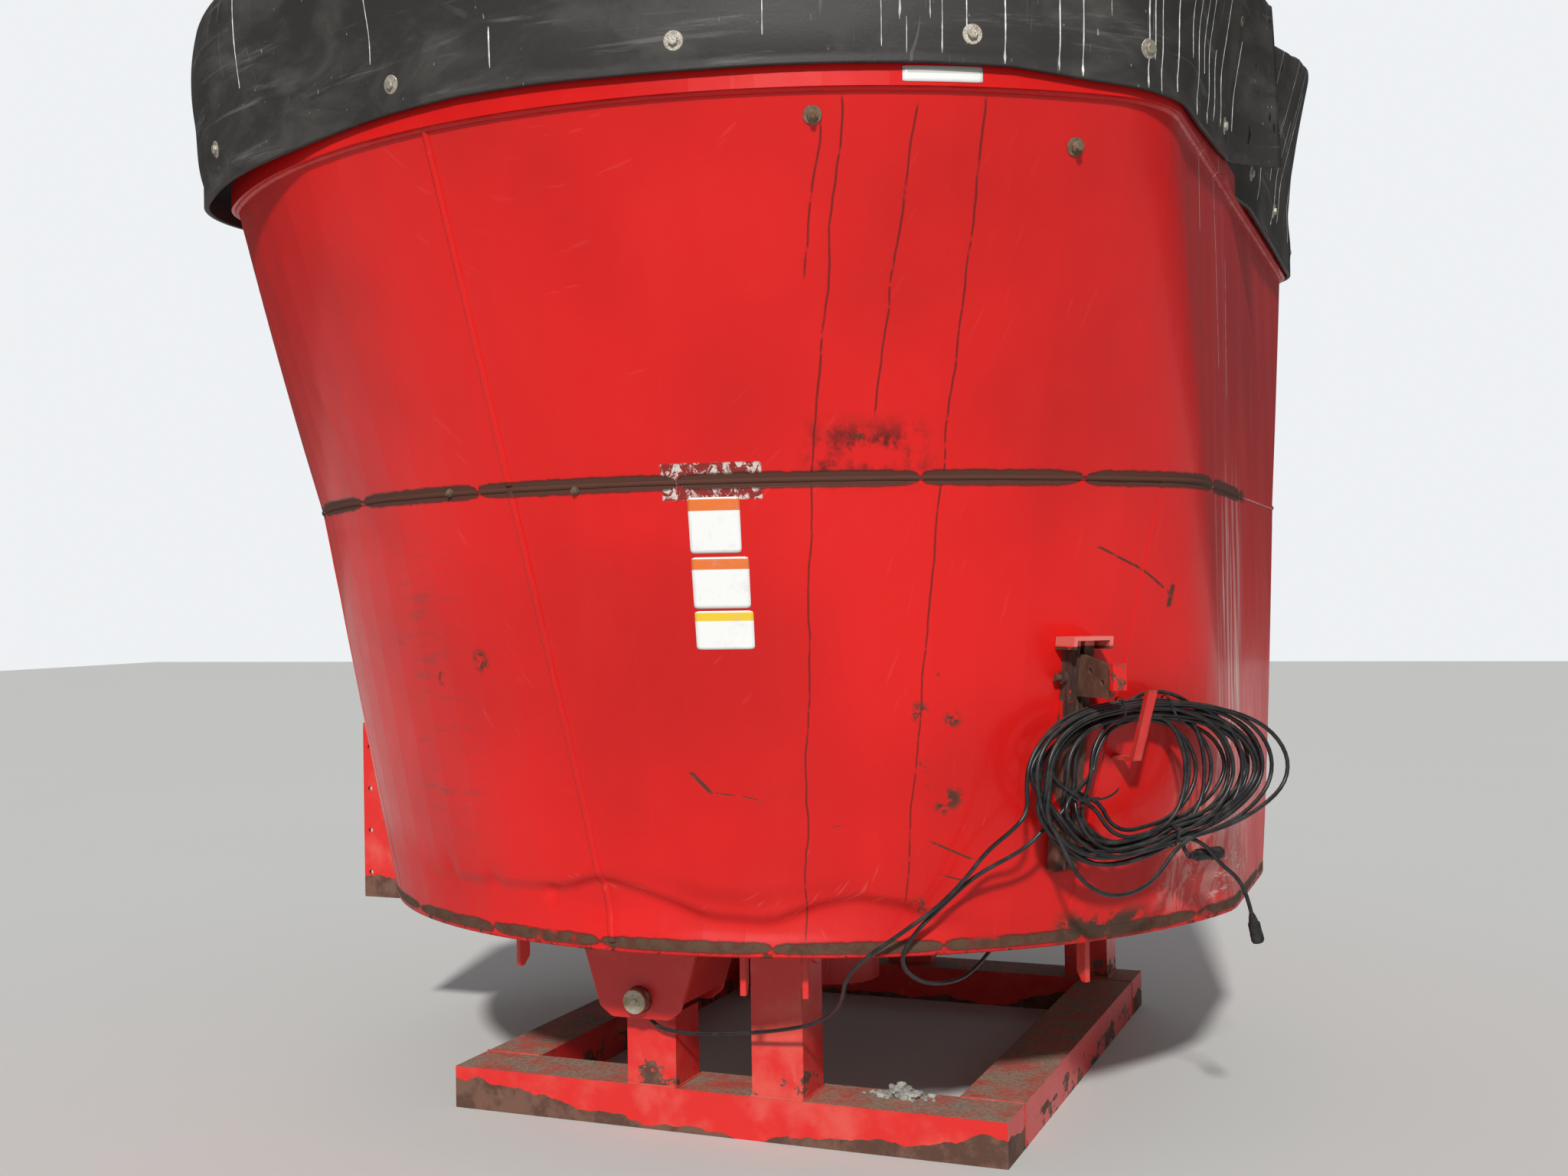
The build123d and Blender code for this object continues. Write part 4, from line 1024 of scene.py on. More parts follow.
def frontDents(angle, z, values):
    # how far the plate is pushed in at that place
    push = 0.0
    for at, height, halfWide, halfTall, depth in values["dents"]:
        sideways = radians(angle - at) * values["radius"] / halfWide
        upwards = (z - height) / halfTall
        push += depth * exp(-sideways * sideways - upwards * upwards)
    for depth, tall, line in values["creases"]:
        first, last = line[0][0], line[-1][0]
        ends = softStep(angle, first - 5.0, first + 3.0) * softStep(angle, last + 6.0, last - 3.0)
        if ends > 0.0:
            level = sum(alongTable(line, angle + shift) for shift in (-1.2, -0.4, 0.4, 1.2)) / 4
            below = level - z
            uneven = 0.75 + 0.5 * noise.noise(Vector((angle * 0.13, 0.0, tall * 100)))
            step = softStep(below, -tall / 2, tall / 2) * softStep(below, level - tub["floorZ"], tall * 0.4)
            push += depth * uneven * ends * step
    spot = Vector((radians(angle) * 4.0, z * 1.7, 3.1))
    push += values["wave"] * (1.0 + noise.noise(spot)) * limited((tub["seamZ"] - z) / values["held"])
    return push * softStep(z, tub["floorZ"], tub["floorZ"] + values["held"])


def frontWallPoint(angle, z, out=0.0):
    return wallPoint(angle, z) + wallNormal(angle, z) * (out - frontDents(angle, z, frontWallValues))


def makeFrontWall(values):
    levels = (tub["floorZ"], values["slotLow"], values["slotTop"], tub["seamZ"])
    heights = []
    for low, high, count in zip(levels, levels[1:], values["rows"]):
        heights += [mixed(low, high, step / count) for step in range(count)]
    heights.append(levels[-1])
    leftCount = round(values["columns"] * values["leftShare"])
    points = []
    for z in heights:
        radius = ringRadius(z)
        edge = degrees(asin(tub["splitY"] / radius))
        gap = degrees(values["slotHalf"] / radius)
        leftRun = (-180 + edge, values["slotAngle"] - gap, leftCount)
        rightRun = (values["slotAngle"] + gap, -edge, values["columns"] - leftCount)
        for first, last, count in (leftRun, rightRun):
            points += [frontWallPoint(mixed(first, last, step / count), z) for step in range(count + 1)]
    width = values["columns"] + 2
    inSlot = range(values["rows"][0], sum(values["rows"][:2]))
    faces = [face for face in gridFaces(len(heights) - 1, width)
             if face[0] % width != leftCount or face[0] // width not in inSlot]
    wall = meshPiece("dented_front_wall", points, faces, closed=False, slot="tub_red",
                     replaces=("front_lower_wall",), material=tubPaint)
    thicken(wall, tub["wall"], -1.0)


makeFrontWall(frontWallValues)
print("front wall dented")

# Weld beads
beadValues = {
    # half width and height of each
    "seam": (0.0058, 0.0034),
    "foot": (0.0042, 0.0022),
    "rim": (0.0085, 0.0062),
    "upright": (0.0098, 0.0060),
    "post": (0.0050, 0.0042),
    "rail": (0.0050, 0.0028),
    "corner": (0.0050, 0.0036),
    "bracket": (0.0055, 0.0040),
    "step": 0.0030,
    "uprightStep": 0.004,
    "skidHalf": 0.7,
    "railWide": 0.1524,
}
beadProfile = (
    (-1.0, -0.35), (-0.82, 0.35), (-0.4, 0.85), (0.0, 1.0), (0.4, 0.85), (0.82, 0.35), (1.0, -0.35),
    (0.0, -0.6),
)


def beadAlong(places, outs, size, seed, ripple=0.0085, close=False):
    # a rippled bead: places on the line, and the way that stands off the metal at each
    halfWide, tall = size
    shift = random.Random(seed).uniform(0, 9)
    rings, count, travelled = [], len(places), 0.0
    for index, (place, out) in enumerate(zip(places, outs)):
        before = places[index - 1] if index or close else place
        after = places[(index + 1) % count] if index + 1 < count or close else place
        ahead = (after - before).normalized()
        side = ahead.cross(out).normalized()
        travelled += (place - before).length if index else 0.0
        wave = 0.5 + 0.5 * cos(2 * pi * travelled / ripple)
        swell = 1.0 + 0.22 * noise.noise(Vector((travelled * 26.0, shift, 0.0)))
        broad = 1.0 + 0.18 * noise.noise(Vector((travelled * 17.0, 0.0, shift)))
        high = tall * (0.78 + 0.22 * wave) * swell
        wide = halfWide * (0.93 + 0.07 * wave) * broad
        ring = []
        for across, up in beadProfile:
            drawn = 0.30 * ripple * (1 - across * across) if up > 0 else 0.0
            ring.append(place + side * across * wide + out * up * high - ahead * drawn)
        rings.append(ring)
    return joinRings(rings, closedAlong=close)


def levelBead(z, out, tilt, size, seed):
    # a bead all round the tub at one height
    count = round(2 * pi * 1.25 / beadValues["step"])
    places = [wallPoint(360.0 * index / count, z, out) for index in range(count)]
    outs = [Vector((place.x, place.y, 0)).normalized() + Vector((0, 0, tilt)) for place in places]
    return beadAlong(places, [out.normalized() for out in outs], size, seed, close=True)


def uprightBead(start, end, surface, seed):
    # a bead up the wall between two places given as angle and height
    places, outs = [], []
    count = round(abs(end[1] - start[1]) / beadValues["uprightStep"])
    for index in range(count):
        angle, z = (mixed(a, b, index / count) for a, b in zip(start, end))
        places.append(surface(angle, z, 0.0))
        outs.append(wallNormal(angle, min(z, tub["rimZ"] - 0.01)))
    return beadAlong(places, outs, beadValues["upright"], seed)


def edgeBead(start, end, out, size, seed):
    # a bead along a straight edge
    start, end, way = Vector(start), Vector(end), Vector(out).normalized()
    count = max(2, round((end - start).length / beadValues["step"]))
    places = [start.lerp(end, index / count) for index in range(count)] + [end]
    return beadAlong(places, [way] * len(places), size, seed, ripple=0.007)


beads = [
    levelBead(tub["seamZ"], 0.0, 0.0, beadValues["seam"], 1),
    levelBead(tub["rimZ"] - 0.001, 0.001, -1.0, beadValues["rim"], 2),
    uprightBead((-99.9, 2.188), (-98.7, 1.484), wallPoint, 3),
    uprightBead((-98.7, 1.476), (-93.0, 0.512), frontWallPoint, 4),
]
meshPiece("tub_weld_beads", *gather(beads), sharp=1.2, slot="tub_red", material=tubPaint)
footBead = levelBead(tub["floorZ"] + 0.0045, -0.0015, -0.15, beadValues["foot"], 9)
meshPiece("tub_foot_bead", *footBead, sharp=1.2, slot="tub_red", material=tubPaint)

beads = []
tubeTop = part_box("front_beam")[1].z
for number, name in enumerate(postNames):
    low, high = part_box(name)
    corners = ((low.x, low.y), (high.x, low.y), (high.x, high.y), (low.x, high.y))
    for side, out in enumerate(((0, -1, 1), (1, 0, 1), (0, 1, 1), (-1, 0, 1))):
        start, end = (*corners[side], tubeTop), (*corners[(side + 1) % 4], tubeTop)
        beads.append(edgeBead(start, end, out, beadValues["post"], 20 + number * 4 + side))
for side in (-1, 1):
    for end in (-1, 1):
        y, seed = end * abs(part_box("left_rail")[0].y), side + 3 * end
        outerX = side * beadValues["skidHalf"]
        innerX = outerX - side * beadValues["railWide"]
        for x, lowX, low, high, out, size, first in (
            (outerX, innerX, tubeTop, tubeTop, (0, 0, 1), "rail", 60),
            (outerX, outerX, 0.006, tubeTop - 0.004, (side, 0, 0), "rail", 70),
            (innerX, innerX, 0.006, tubeTop - 0.004, (-side, -end, 0), "corner", 80),
        ):
            beads.append(edgeBead((x, y, low), (lowX, y, high), out, beadValues[size], first + seed))
for number, name in enumerate(bracketNames):
    low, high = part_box(name)
    middle, z = (low.x + high.x) / 2, high.z - 0.002
    for y, away in ((low.y, -1), (high.y, 1)):
        start, end = (middle - 0.160, y, z), (middle + 0.160, y, z)
        beads.append(edgeBead(start, end, (0, away, -0.6), beadValues["bracket"], 100 + number))
meshPiece("skid_weld_beads", *gather(beads), sharp=1.2, slot="red", material=bracketRed)

# Hanging brackets: two folded plates with side webs round each post top
bracketValues = {
    "thick": 0.010,
    "inside": 0.222,
    "topHalf": 0.166,
    "lowHalf": 0.098,
    "chamfer": 0.024,
    "lowZ": 0.272,
    "webZ": 0.312,
    "bore": barValues["radius"] + 0.0006,
    "sides": 96,
}


def rayToEdge(corners, cx, cz, dx, dz):
    # how far it is from a place inside to the outline, one way
    found = []
    for (ax, az), (bx, bz) in zip(corners, corners[1:] + corners[:1]):
        ex, ez = bx - ax, bz - az
        cross = dx * ez - dz * ex
        if abs(cross) < 1e-9:
            continue
        reach = ((ax - cx) * ez - (az - cz) * ex) / cross
        share = ((ax - cx) * dz - (az - cz) * dx) / cross
        if reach > 0 and -1e-6 <= share <= 1 + 1e-6:
            found.append(reach)
    return min(found)


def plateWithBore(corners, centre, y, values):
    # a plate in X and Z with a round hole, as rings of quads between the hole and the outline
    cx, cz = centre
    inner, outer = [], []
    for index in range(values["sides"]):
        turn = 2 * pi * index / values["sides"]
        dx, dz = cos(turn), sin(turn)
        inner.append((cx + values["bore"] * dx, cz + values["bore"] * dz))
        reach = rayToEdge(corners, cx, cz, dx, dz)
        outer.append((cx + dx * reach, cz + dz * reach))
    back = y + values["thick"]
    pairs = ((inner, y), (outer, y), (outer, back), (inner, back))
    rings = [[Vector((px, depth, pz)) for px, pz in ring] for ring, depth in pairs]
    return joinRings(rings, closedAlong=True)


def makeBracket(name, node, barX, barY, values):
    topZ, lowZ = tub["floorZ"] - 0.0004, values["lowZ"]
    topHalf, lowHalf, chamfer, thick = (values[key] for key in ("topHalf", "lowHalf", "chamfer", "thick"))
    slope = (topHalf - lowHalf) / (topZ - lowZ)
    half = [(topHalf, topZ), (lowHalf + slope * chamfer, lowZ + chamfer), (lowHalf - chamfer, lowZ)]
    corners = [(barX - x, z) for x, z in half] + [(barX + x, z) for x, z in half[::-1]]
    faces = (barY - values["inside"] / 2, barY + values["inside"] / 2)
    centre = (barX, barValues["place"][2])
    shapes = [plateWithBore(corners, centre, y, values) for y in (faces[0] - thick, faces[1])]
    webX = lowHalf + slope * (values["webZ"] - lowZ)
    web = ((topHalf, topZ), (webX, values["webZ"]), (webX - thick, values["webZ"]), (topHalf - thick, topZ))
    for side in (-1, 1):
        shapes.append(joinRings([[Vector((barX + side * x, y, z)) for x, z in web] for y in faces]))
    bracket = meshPiece(name, *gather(shapes), sharp=0.5, slot="red", replaces=(node,), material=bracketRed)
    softenEdges(bracket, 0.003, 2)


for hung in bracketNames:
    low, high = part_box(hung)
    makeBracket(hung + "_plates", hung, (low.x + high.x) / 2, (low.y + high.y) / 2, bracketValues)

# Short lugs under the floor's edge, and longer tips for the two beside the stay post
lugValues = {
    "thick": 0.014,
    "inner": 1.020,
    "outer": 1.050,
    "places": ((-113.0, 0.404), (-79.8, 0.392), (-72.4, 0.388), (-36.5, 0.380)),
}
shapes = []
for angle, low in lugValues["places"]:
    top, inner, outer = tub["floorZ"] - 0.0005, lugValues["inner"], lugValues["outer"]
    section = ((inner, top), (inner, low + 0.022), (outer - 0.014, low), (outer, low), (outer, top))
    side = around(angle + 90, lugValues["thick"] / 2, 0.0)
    shapes.append(joinRings([[around(angle, r, z) + shift for r, z in section] for shift in (-side, side)]))
lugs = meshPiece("floor_lugs", *gather(shapes), sharp=0.5, slot="red", material=bracketRed)
softenEdges(lugs, 0.002, 2)
print("welds laid")

# Rubber belts, ruled between their low edge and their flared top edge
beltValues = {
    "low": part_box("front_belt")[0].z,
    "top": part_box("front_belt")[1].z,
    "thick": 0.012,
    "gap": 0.0003,
    "flare": 0.090,
    "flapLong": 0.190,
    "rows": 46,
    "wave": 0.009,
    "ragged": 0.006,
    "stand": 0.0185,  # how far the low edge stands off the band
}
frontHang = (
    # angle, how far the low edge hangs below the band's top
    (-180, 0.052), (-130, 0.052), (-112, 0.029), (-96, 0.016), (-84, 0.020), (-76, 0.020), (-62, 0.014),
    (-56, 0.018), (-50, 0.034), (-44, 0.042), (-36, 0.040), (-26, 0.026), (-14, 0.000), (0, 0.000),
    (180, 0.046),
)
rearHang = ((-40, 0.050), (35, 0.052), (60, 0.034), (180, 0.044))


def arcThrough(first, middle, last, count):
    # points from first to last on the circle through all three
    (ax, ay), (bx, by), (cx, cy) = first, middle, last
    double = 2 * (ax * (by - cy) + bx * (cy - ay) + cx * (ay - by))
    a2, b2, c2 = ax ** 2 + ay ** 2, bx ** 2 + by ** 2, cx ** 2 + cy ** 2
    ux = (a2 * (by - cy) + b2 * (cy - ay) + c2 * (ay - by)) / double
    uy = (a2 * (cx - bx) + b2 * (ax - cx) + c2 * (bx - ax)) / double
    radius, start = hypot(ax - ux, ay - uy), atan2(ay - uy, ax - ux)
    toMiddle, toLast = ((atan2(y - uy, x - ux) - start) % (2 * pi) for x, y in (middle, last))
    full = toLast if toMiddle < toLast else toLast - 2 * pi
    turns = [start + full * index / count for index in range(count)]
    return [(ux + radius * cos(turn), uy + radius * sin(turn)) for turn in turns]


def straight(first, last, count):
    return [tuple(mixed(a, b, index / count) for a, b in zip(first, last)) for index in range(count)]


def beltLine(values, flare, sideY, startY, endY, rightIn, bulge, curl):
    # a belt's line seen from above: left side, round end, then right side with a flap or a bulge
    radius = tub["rimRadius"] + values["gap"] + flare
    left = tub["sideHalf"] + values["gap"] + flare
    right = left - rightIn
    bend = tub["cornerBend"]

    def corner(half, sideX):
        y = sqrt((radius - bend) ** 2 - (half - bend) ** 2)
        full = atan2(y, half - bend)
        rolled = (half - bend + bend * cos(full / 2), y + bend * sin(full / 2))
        places = ((half, y), rolled, (radius * cos(full), radius * sin(full)))
        return [(sideX * px, sideY * py) for px, py in places]

    first, last = corner(left, -1), corner(right, 1)
    line = straight((-left, startY), first[0], 46) + arcThrough(*first, 12)
    line += arcThrough(first[2], (0, sideY * radius), last[2], 110) + arcThrough(*last[::-1], 12)
    if curl:
        bent = (right, endY - values["flapLong"])
        half = (right + curl * 0.26, endY - values["flapLong"] / 2)
        line += straight(last[0], bent, 36) + arcThrough(bent, half, (right + curl, endY), 16)
    elif bulge:
        line += arcThrough(last[0], (right + bulge, (last[0][1] + endY) / 2), (right, endY), 52)
    else:
        line += straight(last[0], (right, endY), 52)
    return line + [(right + curl, endY)]


def standOff(front, angle, z, values):
    # extra distance out, for the low edge that stands off the band and the slack left corner
    slack = softStep(angle, -108, -130) * softStep(angle, -179, -156) if front else 0.0
    share = limited((z - values["low"]) / (values["top"] - values["low"]))
    bowed = 0.024 + 0.030 * sin(pi * (0.25 + share * 0.75)) - 0.062 * share ** 3
    return values["stand"] * softStep(z, 2.40, 2.25) + slack * bowed


beltSkins = {}  # the outer face's points of each, row by row


def makeBelt(name, node, values, seed, sideY, startY, endY, rightIn, bulges, curls):
    shift = random.Random(seed).uniform(0, 50)
    front = sideY < 0
    low, top = values["low"], values["top"]
    lowLine = beltLine(values, 0.0, sideY, startY, endY, 0.0, bulges[0], curls[0])
    topLine = beltLine(values, values["flare"], sideY, startY, endY, rightIn, bulges[1], curls[1])
    count, rows = len(lowLine), values["rows"]
    travelled = [0.0]
    for a, b in zip(lowLine, lowLine[1:]):
        travelled.append(travelled[-1] + hypot(b[0] - a[0], b[1] - a[1]))

    def uneven(*place):
        return noise.noise(Vector(place))

    def place(index, level):
        # a place on the inner face, and the way in from it
        angle = degrees(atan2(lowLine[index][1], lowLine[index][0]))
        along, left = travelled[index], travelled[-1] - travelled[index]
        if front:
            cut = 0.060 * softStep(left, 0.55, 0.0) + 0.085 * softStep(angle, -88, -124)
        else:
            cut = 0.105 * softStep(left, 0.95, 0.1)
        nick = uneven(along * 9.0, 0.0, shift + 20) + 0.5 * uneven(along * 55.0, 0.0, shift + 30)
        cut += values["ragged"] * max(0.0, nick) * (1.0 if front else 1.8)
        curled = 0.004 * uneven(along * 2.6, 0.0, shift + 40)
        hang = alongTable(frontHang if front else rearHang, angle) - curled
        z = mixed(low - hang, top - cut, level)
        share = (z - low) / (top - low)
        grown = max(0.0, share)
        x, y = (mixed(a, b, grown) for a, b in zip(lowLine[index], topLine[index]))
        ahead = Vector(topLine[min(index + 1, count - 1)]) - Vector(topLine[max(index - 1, 0)])
        inward = Vector((ahead.y, -ahead.x, 0.0)).normalized()
        if inward.dot(Vector((x, y, 0.0))) > 0:
            inward.negate()
        slow, quick = uneven(along * 1.1, share * 0.5, shift), uneven(along * 3.2, share * 1.4, shift + 9)
        push = values["wave"] * grown * grown * (0.5 + 0.5 * slow) + 0.0025 * grown * (0.5 + 0.5 * quick)
        push -= standOff(front, angle, z, values) * softStep(left, 0.10, 0.30)
        return Vector((x, y, z)) + inward * push, inward

    skin = [place(index, (row / rows) ** 1.35) for row in range(rows + 1) for index in range(count)]
    belt = meshPiece(name, [point for point, _ in skin], gridFaces(rows, count, not front), closed=False,
                     slot="belt_rubber", replaces=(node,), material=rubber)
    thicken(belt, values["thick"], 1.0)
    outer = [point - inward * values["thick"] for point, inward in skin]
    beltSkins[front] = [outer[row * count:(row + 1) * count] for row in range(rows + 1)]


def onBelt(front, angle, z):
    # a place on a belt's outer face, and the way out of it
    def bearing(point):
        return degrees(atan2(point.y, point.x))

    def onRow(ring):
        best = min(range(1, len(ring) - 1), key=lambda index: abs(bearing(ring[index]) - angle))
        here = bearing(ring[best])
        following = best + 1 if (bearing(ring[best + 1]) - here) * (angle - here) > 0 else best - 1
        turn = bearing(ring[following]) - here
        share = limited((angle - here) / turn) if abs(turn) > 1e-6 else 0.0
        return ring[best].lerp(ring[following], share), (ring[following] - ring[best]).normalized()

    first = onRow(beltSkins[front][0])[0]
    for ring in beltSkins[front][1:]:
        second, ahead = onRow(ring)
        if second.z >= z:
            break
        first = second
    place = first.lerp(second, limited((z - first.z) / max(1e-6, second.z - first.z)))
    way = ahead.cross((second - first).normalized()).normalized()
    if way.dot(Vector((place.x, place.y, 0))) < 0:
        way.negate()
    return place, way


makeBelt("front_rubber_belt", "front_belt", beltValues, 11, -1, 0.200, -0.190, 0.0, (0, 0), (0.119, 0.006))
makeBelt("rear_rubber_belt", "rear_belt", beltValues, 12, 1, 0.2003, -0.300, 0.050, (0.003, 0.090), (0, 0))

# Dried white runs on the rubber, as thin raised drips
dripValues = {
    "wide": 0.0015,
    "seed": 31,
    "more": 34,
    "drips": (
        # angle, top, bottom
        (-65.0, 2.70, 2.256), (-63.7, 2.70, 2.304), (-63.3, 2.31, 2.244), (-60.8, 2.70, 2.244),
        (-59.2, 2.70, 2.262), (-56.5, 2.70, 2.226), (-52.6, 2.70, 2.222), (-50.8, 2.70, 2.208),
        (-45.6, 2.70, 2.190), (-45.0, 2.70, 2.262), (-44.3, 2.40, 2.205), (-42.4, 2.70, 2.215),
        (-39.8, 2.70, 2.300), (-37.5, 2.66, 2.208), (-35.2, 2.55, 2.310), (-33.0, 2.60, 2.225),
        (-30.0, 2.40, 2.250), (-26.4, 2.56, 2.262), (-18.0, 2.50, 2.300), (-71.4, 2.70, 2.420),
        (-77.0, 2.70, 2.480), (-88.6, 2.70, 2.560), (-92.8, 2.35, 2.272), (-104.0, 2.66, 2.330),
        (-121.0, 2.62, 2.380),
    ),
}


def makeDrip(front, angle, top, bottom, wide, rough):
    # a flat bead of dried water that wanders a little and ends in a drop
    steps = max(6, round((top - bottom) / 0.012))
    wander, rings = 0.0, []
    for index in range(steps + 1):
        share = index / steps
        wander += rough.uniform(-0.010, 0.010)
        place, way = onBelt(front, angle + wander, mixed(top, bottom, share))
        side = way.cross(Vector((0, 0, 1))).normalized()
        half = wide * (0.55 + 0.45 * rough.random()) * (0.5 if share < 0.03 else 1.0)
        if share > 0.965:
            half *= 1.9 if share < 0.995 else 0.6
        high = 0.0004 + half * 0.30
        profile = ((-1.0, -0.0006), (-0.6, high * 0.8), (0.0, high), (0.6, high * 0.8), (1.0, -0.0006))
        rings.append([place + side * across * half + way * up for across, up in profile])
    return joinRings(rings)


def beltEnds(front, angle):
    return onBelt(front, angle, 0.0)[0].z, onBelt(front, angle, 9.0)[0].z


rough = random.Random(dripValues["seed"])
shapes = []
for angle, top, bottom in dripValues["drips"]:
    lowest, highest = beltEnds(True, angle)
    wide = dripValues["wide"] * rough.uniform(0.7, 1.5)
    shapes.append(makeDrip(True, angle, min(top, highest - 0.002), max(bottom, lowest + 0.003), wide, rough))
for index in range(dripValues["more"]):
    front = rough.random() < 0.30
    angle = rough.uniform(-78, -46) if front else rough.uniform(-8, 176)
    lowest, highest = beltEnds(front, angle)
    top = highest - rough.choice((0.002, 0.002, 0.06, 0.15))
    bottom = lowest + rough.uniform(0.02, 0.34)
    if top - bottom > 0.04:
        wide = dripValues["wide"] * rough.uniform(0.35, 0.9)
        shapes.append(makeDrip(front, angle, top, bottom, wide, rough))
meshPiece("dried_drips", *gather(shapes), sharp=1.5, slot="belt_rubber", material=plastics["dried_white"])
print("belts hung")

# Bolts
boltValues = {
    "beltZ": 2.280,
    "beltAngles": (-126.5, -101.9, -79.0, -58.8, -45.6),
    "beltStep": 22.0,
    "lapAngle": -14,  # left of it the front belt is on top
    "washer": (0.019, 0.0025),
    "head": (0.0098, 0.0065),
    "thread": 0.0016,
    "seed": 21,
}


def hexBolt(place, way, washer, head, spin, stud=0.0, studRadius=0.006):
    # a washer, a hexagonal head, and the threaded end of a stud where it has one
    way = way.normalized()
    washerRadius, washerTall = washer
    headRadius, headTall = head
    reach = washerTall + headTall
    flange = [(-0.001, washerRadius), (washerTall * 0.7, washerRadius), (washerTall, washerRadius * 0.95),
              (washerTall, headRadius * 0.6)]
    sides = ((washerTall * 0.8, headRadius), (washerTall + headTall * 0.82, headRadius),
             (reach, headRadius * 0.84))
    rings = [ringOf(place + way * along, crossWays(way), radius, 6, radians(spin)) for along, radius in sides]
    shapes = [turned(place, way, flange, 26), joinRings(rings)]
    if stud:
        rows = [(reach - 0.002, studRadius)]
        for turn in range(int(stud / boltValues["thread"])):
            at = reach + turn * boltValues["thread"]
            rows += [(at, studRadius), (at + boltValues["thread"] / 2, studRadius * 0.9)]
        shapes.append(turned(place, way, rows + [(reach + stud, studRadius * 0.85)], 16))
    return shapes


rough = random.Random(boltValues["seed"])
beltAngles = list(boltValues["beltAngles"])
while beltAngles[-1] + boltValues["beltStep"] < 360 + beltAngles[0] - 10:
    beltAngles.append(beltAngles[-1] + boltValues["beltStep"])
shapes = []
for angle in beltAngles:
    angle = (angle + 180) % 360 - 180
    spot, way = onBelt(angle < boltValues["lapAngle"], angle, boltValues["beltZ"])
    sizes = boltValues["washer"], boltValues["head"]
    shapes += hexBolt(spot - way * 0.0018, way, *sizes, rough.uniform(0, 60))
meshPiece("belt_bolts", *gather(shapes), sharp=0.5, slot="blade_steel", material=steels["bolt_steel"])

# the lap's rusty hole and the bolt near the second belt's top edge
holeProfile = [(-0.002, 0.0125), (0.0014, 0.0120), (0.0018, 0.0100), (-0.0005, 0.0085), (-0.0008, 0.0004)]
shapes = []
for angle, z in ((-20.0, 2.530), (4.0, 2.500)):
    shapes.append(turned(*onBelt(angle < boltValues["lapAngle"], angle, z), holeProfile, 20))
meshPiece("lap_holes", *gather(shapes), sharp=0.5, slot="blade_steel", material=steels["rusty_bolt"])

shapes = []
for angle, z, proud, wayZ, washer, head, stud, studRadius in (
    (-69.7, 2.144, 0.0, 2.144, (0.018, 0.003), (0.011, 0.008), 0.010, 0.0062),
    (-50.4, 2.098, 0.0, 2.098, (0.018, 0.003), (0.011, 0.008), 0.010, 0.0062),
    (-106.1, 1.482, 0.001, 1.6, (0.009, 0.002), (0.0075, 0.006), 0.004, 0.004),
    (-91.7, 1.472, 0.001, 1.6, (0.009, 0.002), (0.0075, 0.006), 0.004, 0.004),
):
    spot, way = wallPoint(angle, z, proud), wallNormal(angle, wayZ)
    shapes += hexBolt(spot, way, washer, head, rough.uniform(0, 60), stud, studRadius)
meshPiece("wall_bolts", *gather(shapes), sharp=0.5, slot="blade_steel", material=steels["rusty_bolt"])
print("bolts set")

# Blank stickers
stickerValues = (
    # name, left and right angle, low, high, header colour, header share
    ("upper_blank_sticker", (-81.2, -76.6, 1.338, 1.449), (0.72, 0.16, 0.025), 0.24),
    ("middle_blank_sticker", (-81.2, -76.0, 1.227, 1.330), (0.72, 0.16, 0.025), 0.24),
    ("lower_blank_sticker", (-81.2, -75.8, 1.144, 1.222), (0.78, 0.52, 0.03), 0.26),
)


def makePatch(name, edges, surface, material, columns=14, rows=14, inset=0.006):
    # a thin sheet on the wall with rounded corners
    left, right, low, high = edges
    middle, level = (left + right) / 2, (low + high) / 2
    radius = ringRadius(level)
    wide, tall = radians(right - left) * 0.5 * radius, (high - low) / 2
    points = []
    for row in range(rows + 1):
        for column in range(columns + 1):
            x, y = (2 * column / columns - 1) * wide, (2 * row / rows - 1) * tall
            overX, overY = max(0.0, abs(x) - (wide - inset)), max(0.0, abs(y) - (tall - inset))
            reach = hypot(overX, overY)
            if reach > inset:
                x = copysign(wide - inset + overX * inset / reach, x)
                y = copysign(tall - inset + overY * inset / reach, y)
            points.append(surface(middle + degrees(x / radius), level + y, 0.0003))
    faces = gridFaces(rows, columns + 1)
    patch = meshPiece(name, points, faces, closed=False, slot="tub_red", material=material)
    thicken(patch, 0.0006, 1.0)


def bandSurface(angle, z, out):
    radius, half, bend = (tub[key] + 0.014 + out for key in ("rimRadius", "sideHalf", "cornerBend"))
    return around(angle, outline(angle, radius, half, bend), z)


for name, edges, header, share in stickerValues:
    makePatch(name, edges, frontWallPoint, makeSticker(name, edges[2], edges[3], header, share))
rimSticker = makeSticker("rim_sticker", 2.197, 2.226, (0.55, 0.54, 0.50), 0.45)
makePatch("rim_blank_sticker", (-63.5, -57.9, 2.197, 2.226), bandSurface, rimSticker, 16, 4, 0.003)
print("stickers laid")

# The front weigh bar's end: a chamfered rim round a pale face
barProfile = (
    (-0.004, 0.0275), (0.0, 0.0285), (0.0022, 0.0272), (0.0022, 0.0225), (0.0012, 0.0215), (0.0012, 0.0075),
    (0.0034, 0.0070), (0.0034, 0.0004),
)
barEnd = turned(barValues["place"], (0, -1, 0), barProfile, 48)
meshPiece("weigh_bar_end", *barEnd, sharp=0.5, slot="blade_steel", material=steels["bar_end"])

# Zip ties
tieValues = {"wide": 0.0046, "thick": 0.0014, "around": 26, "steps": 14}
lift = Vector((0, 0, 1))


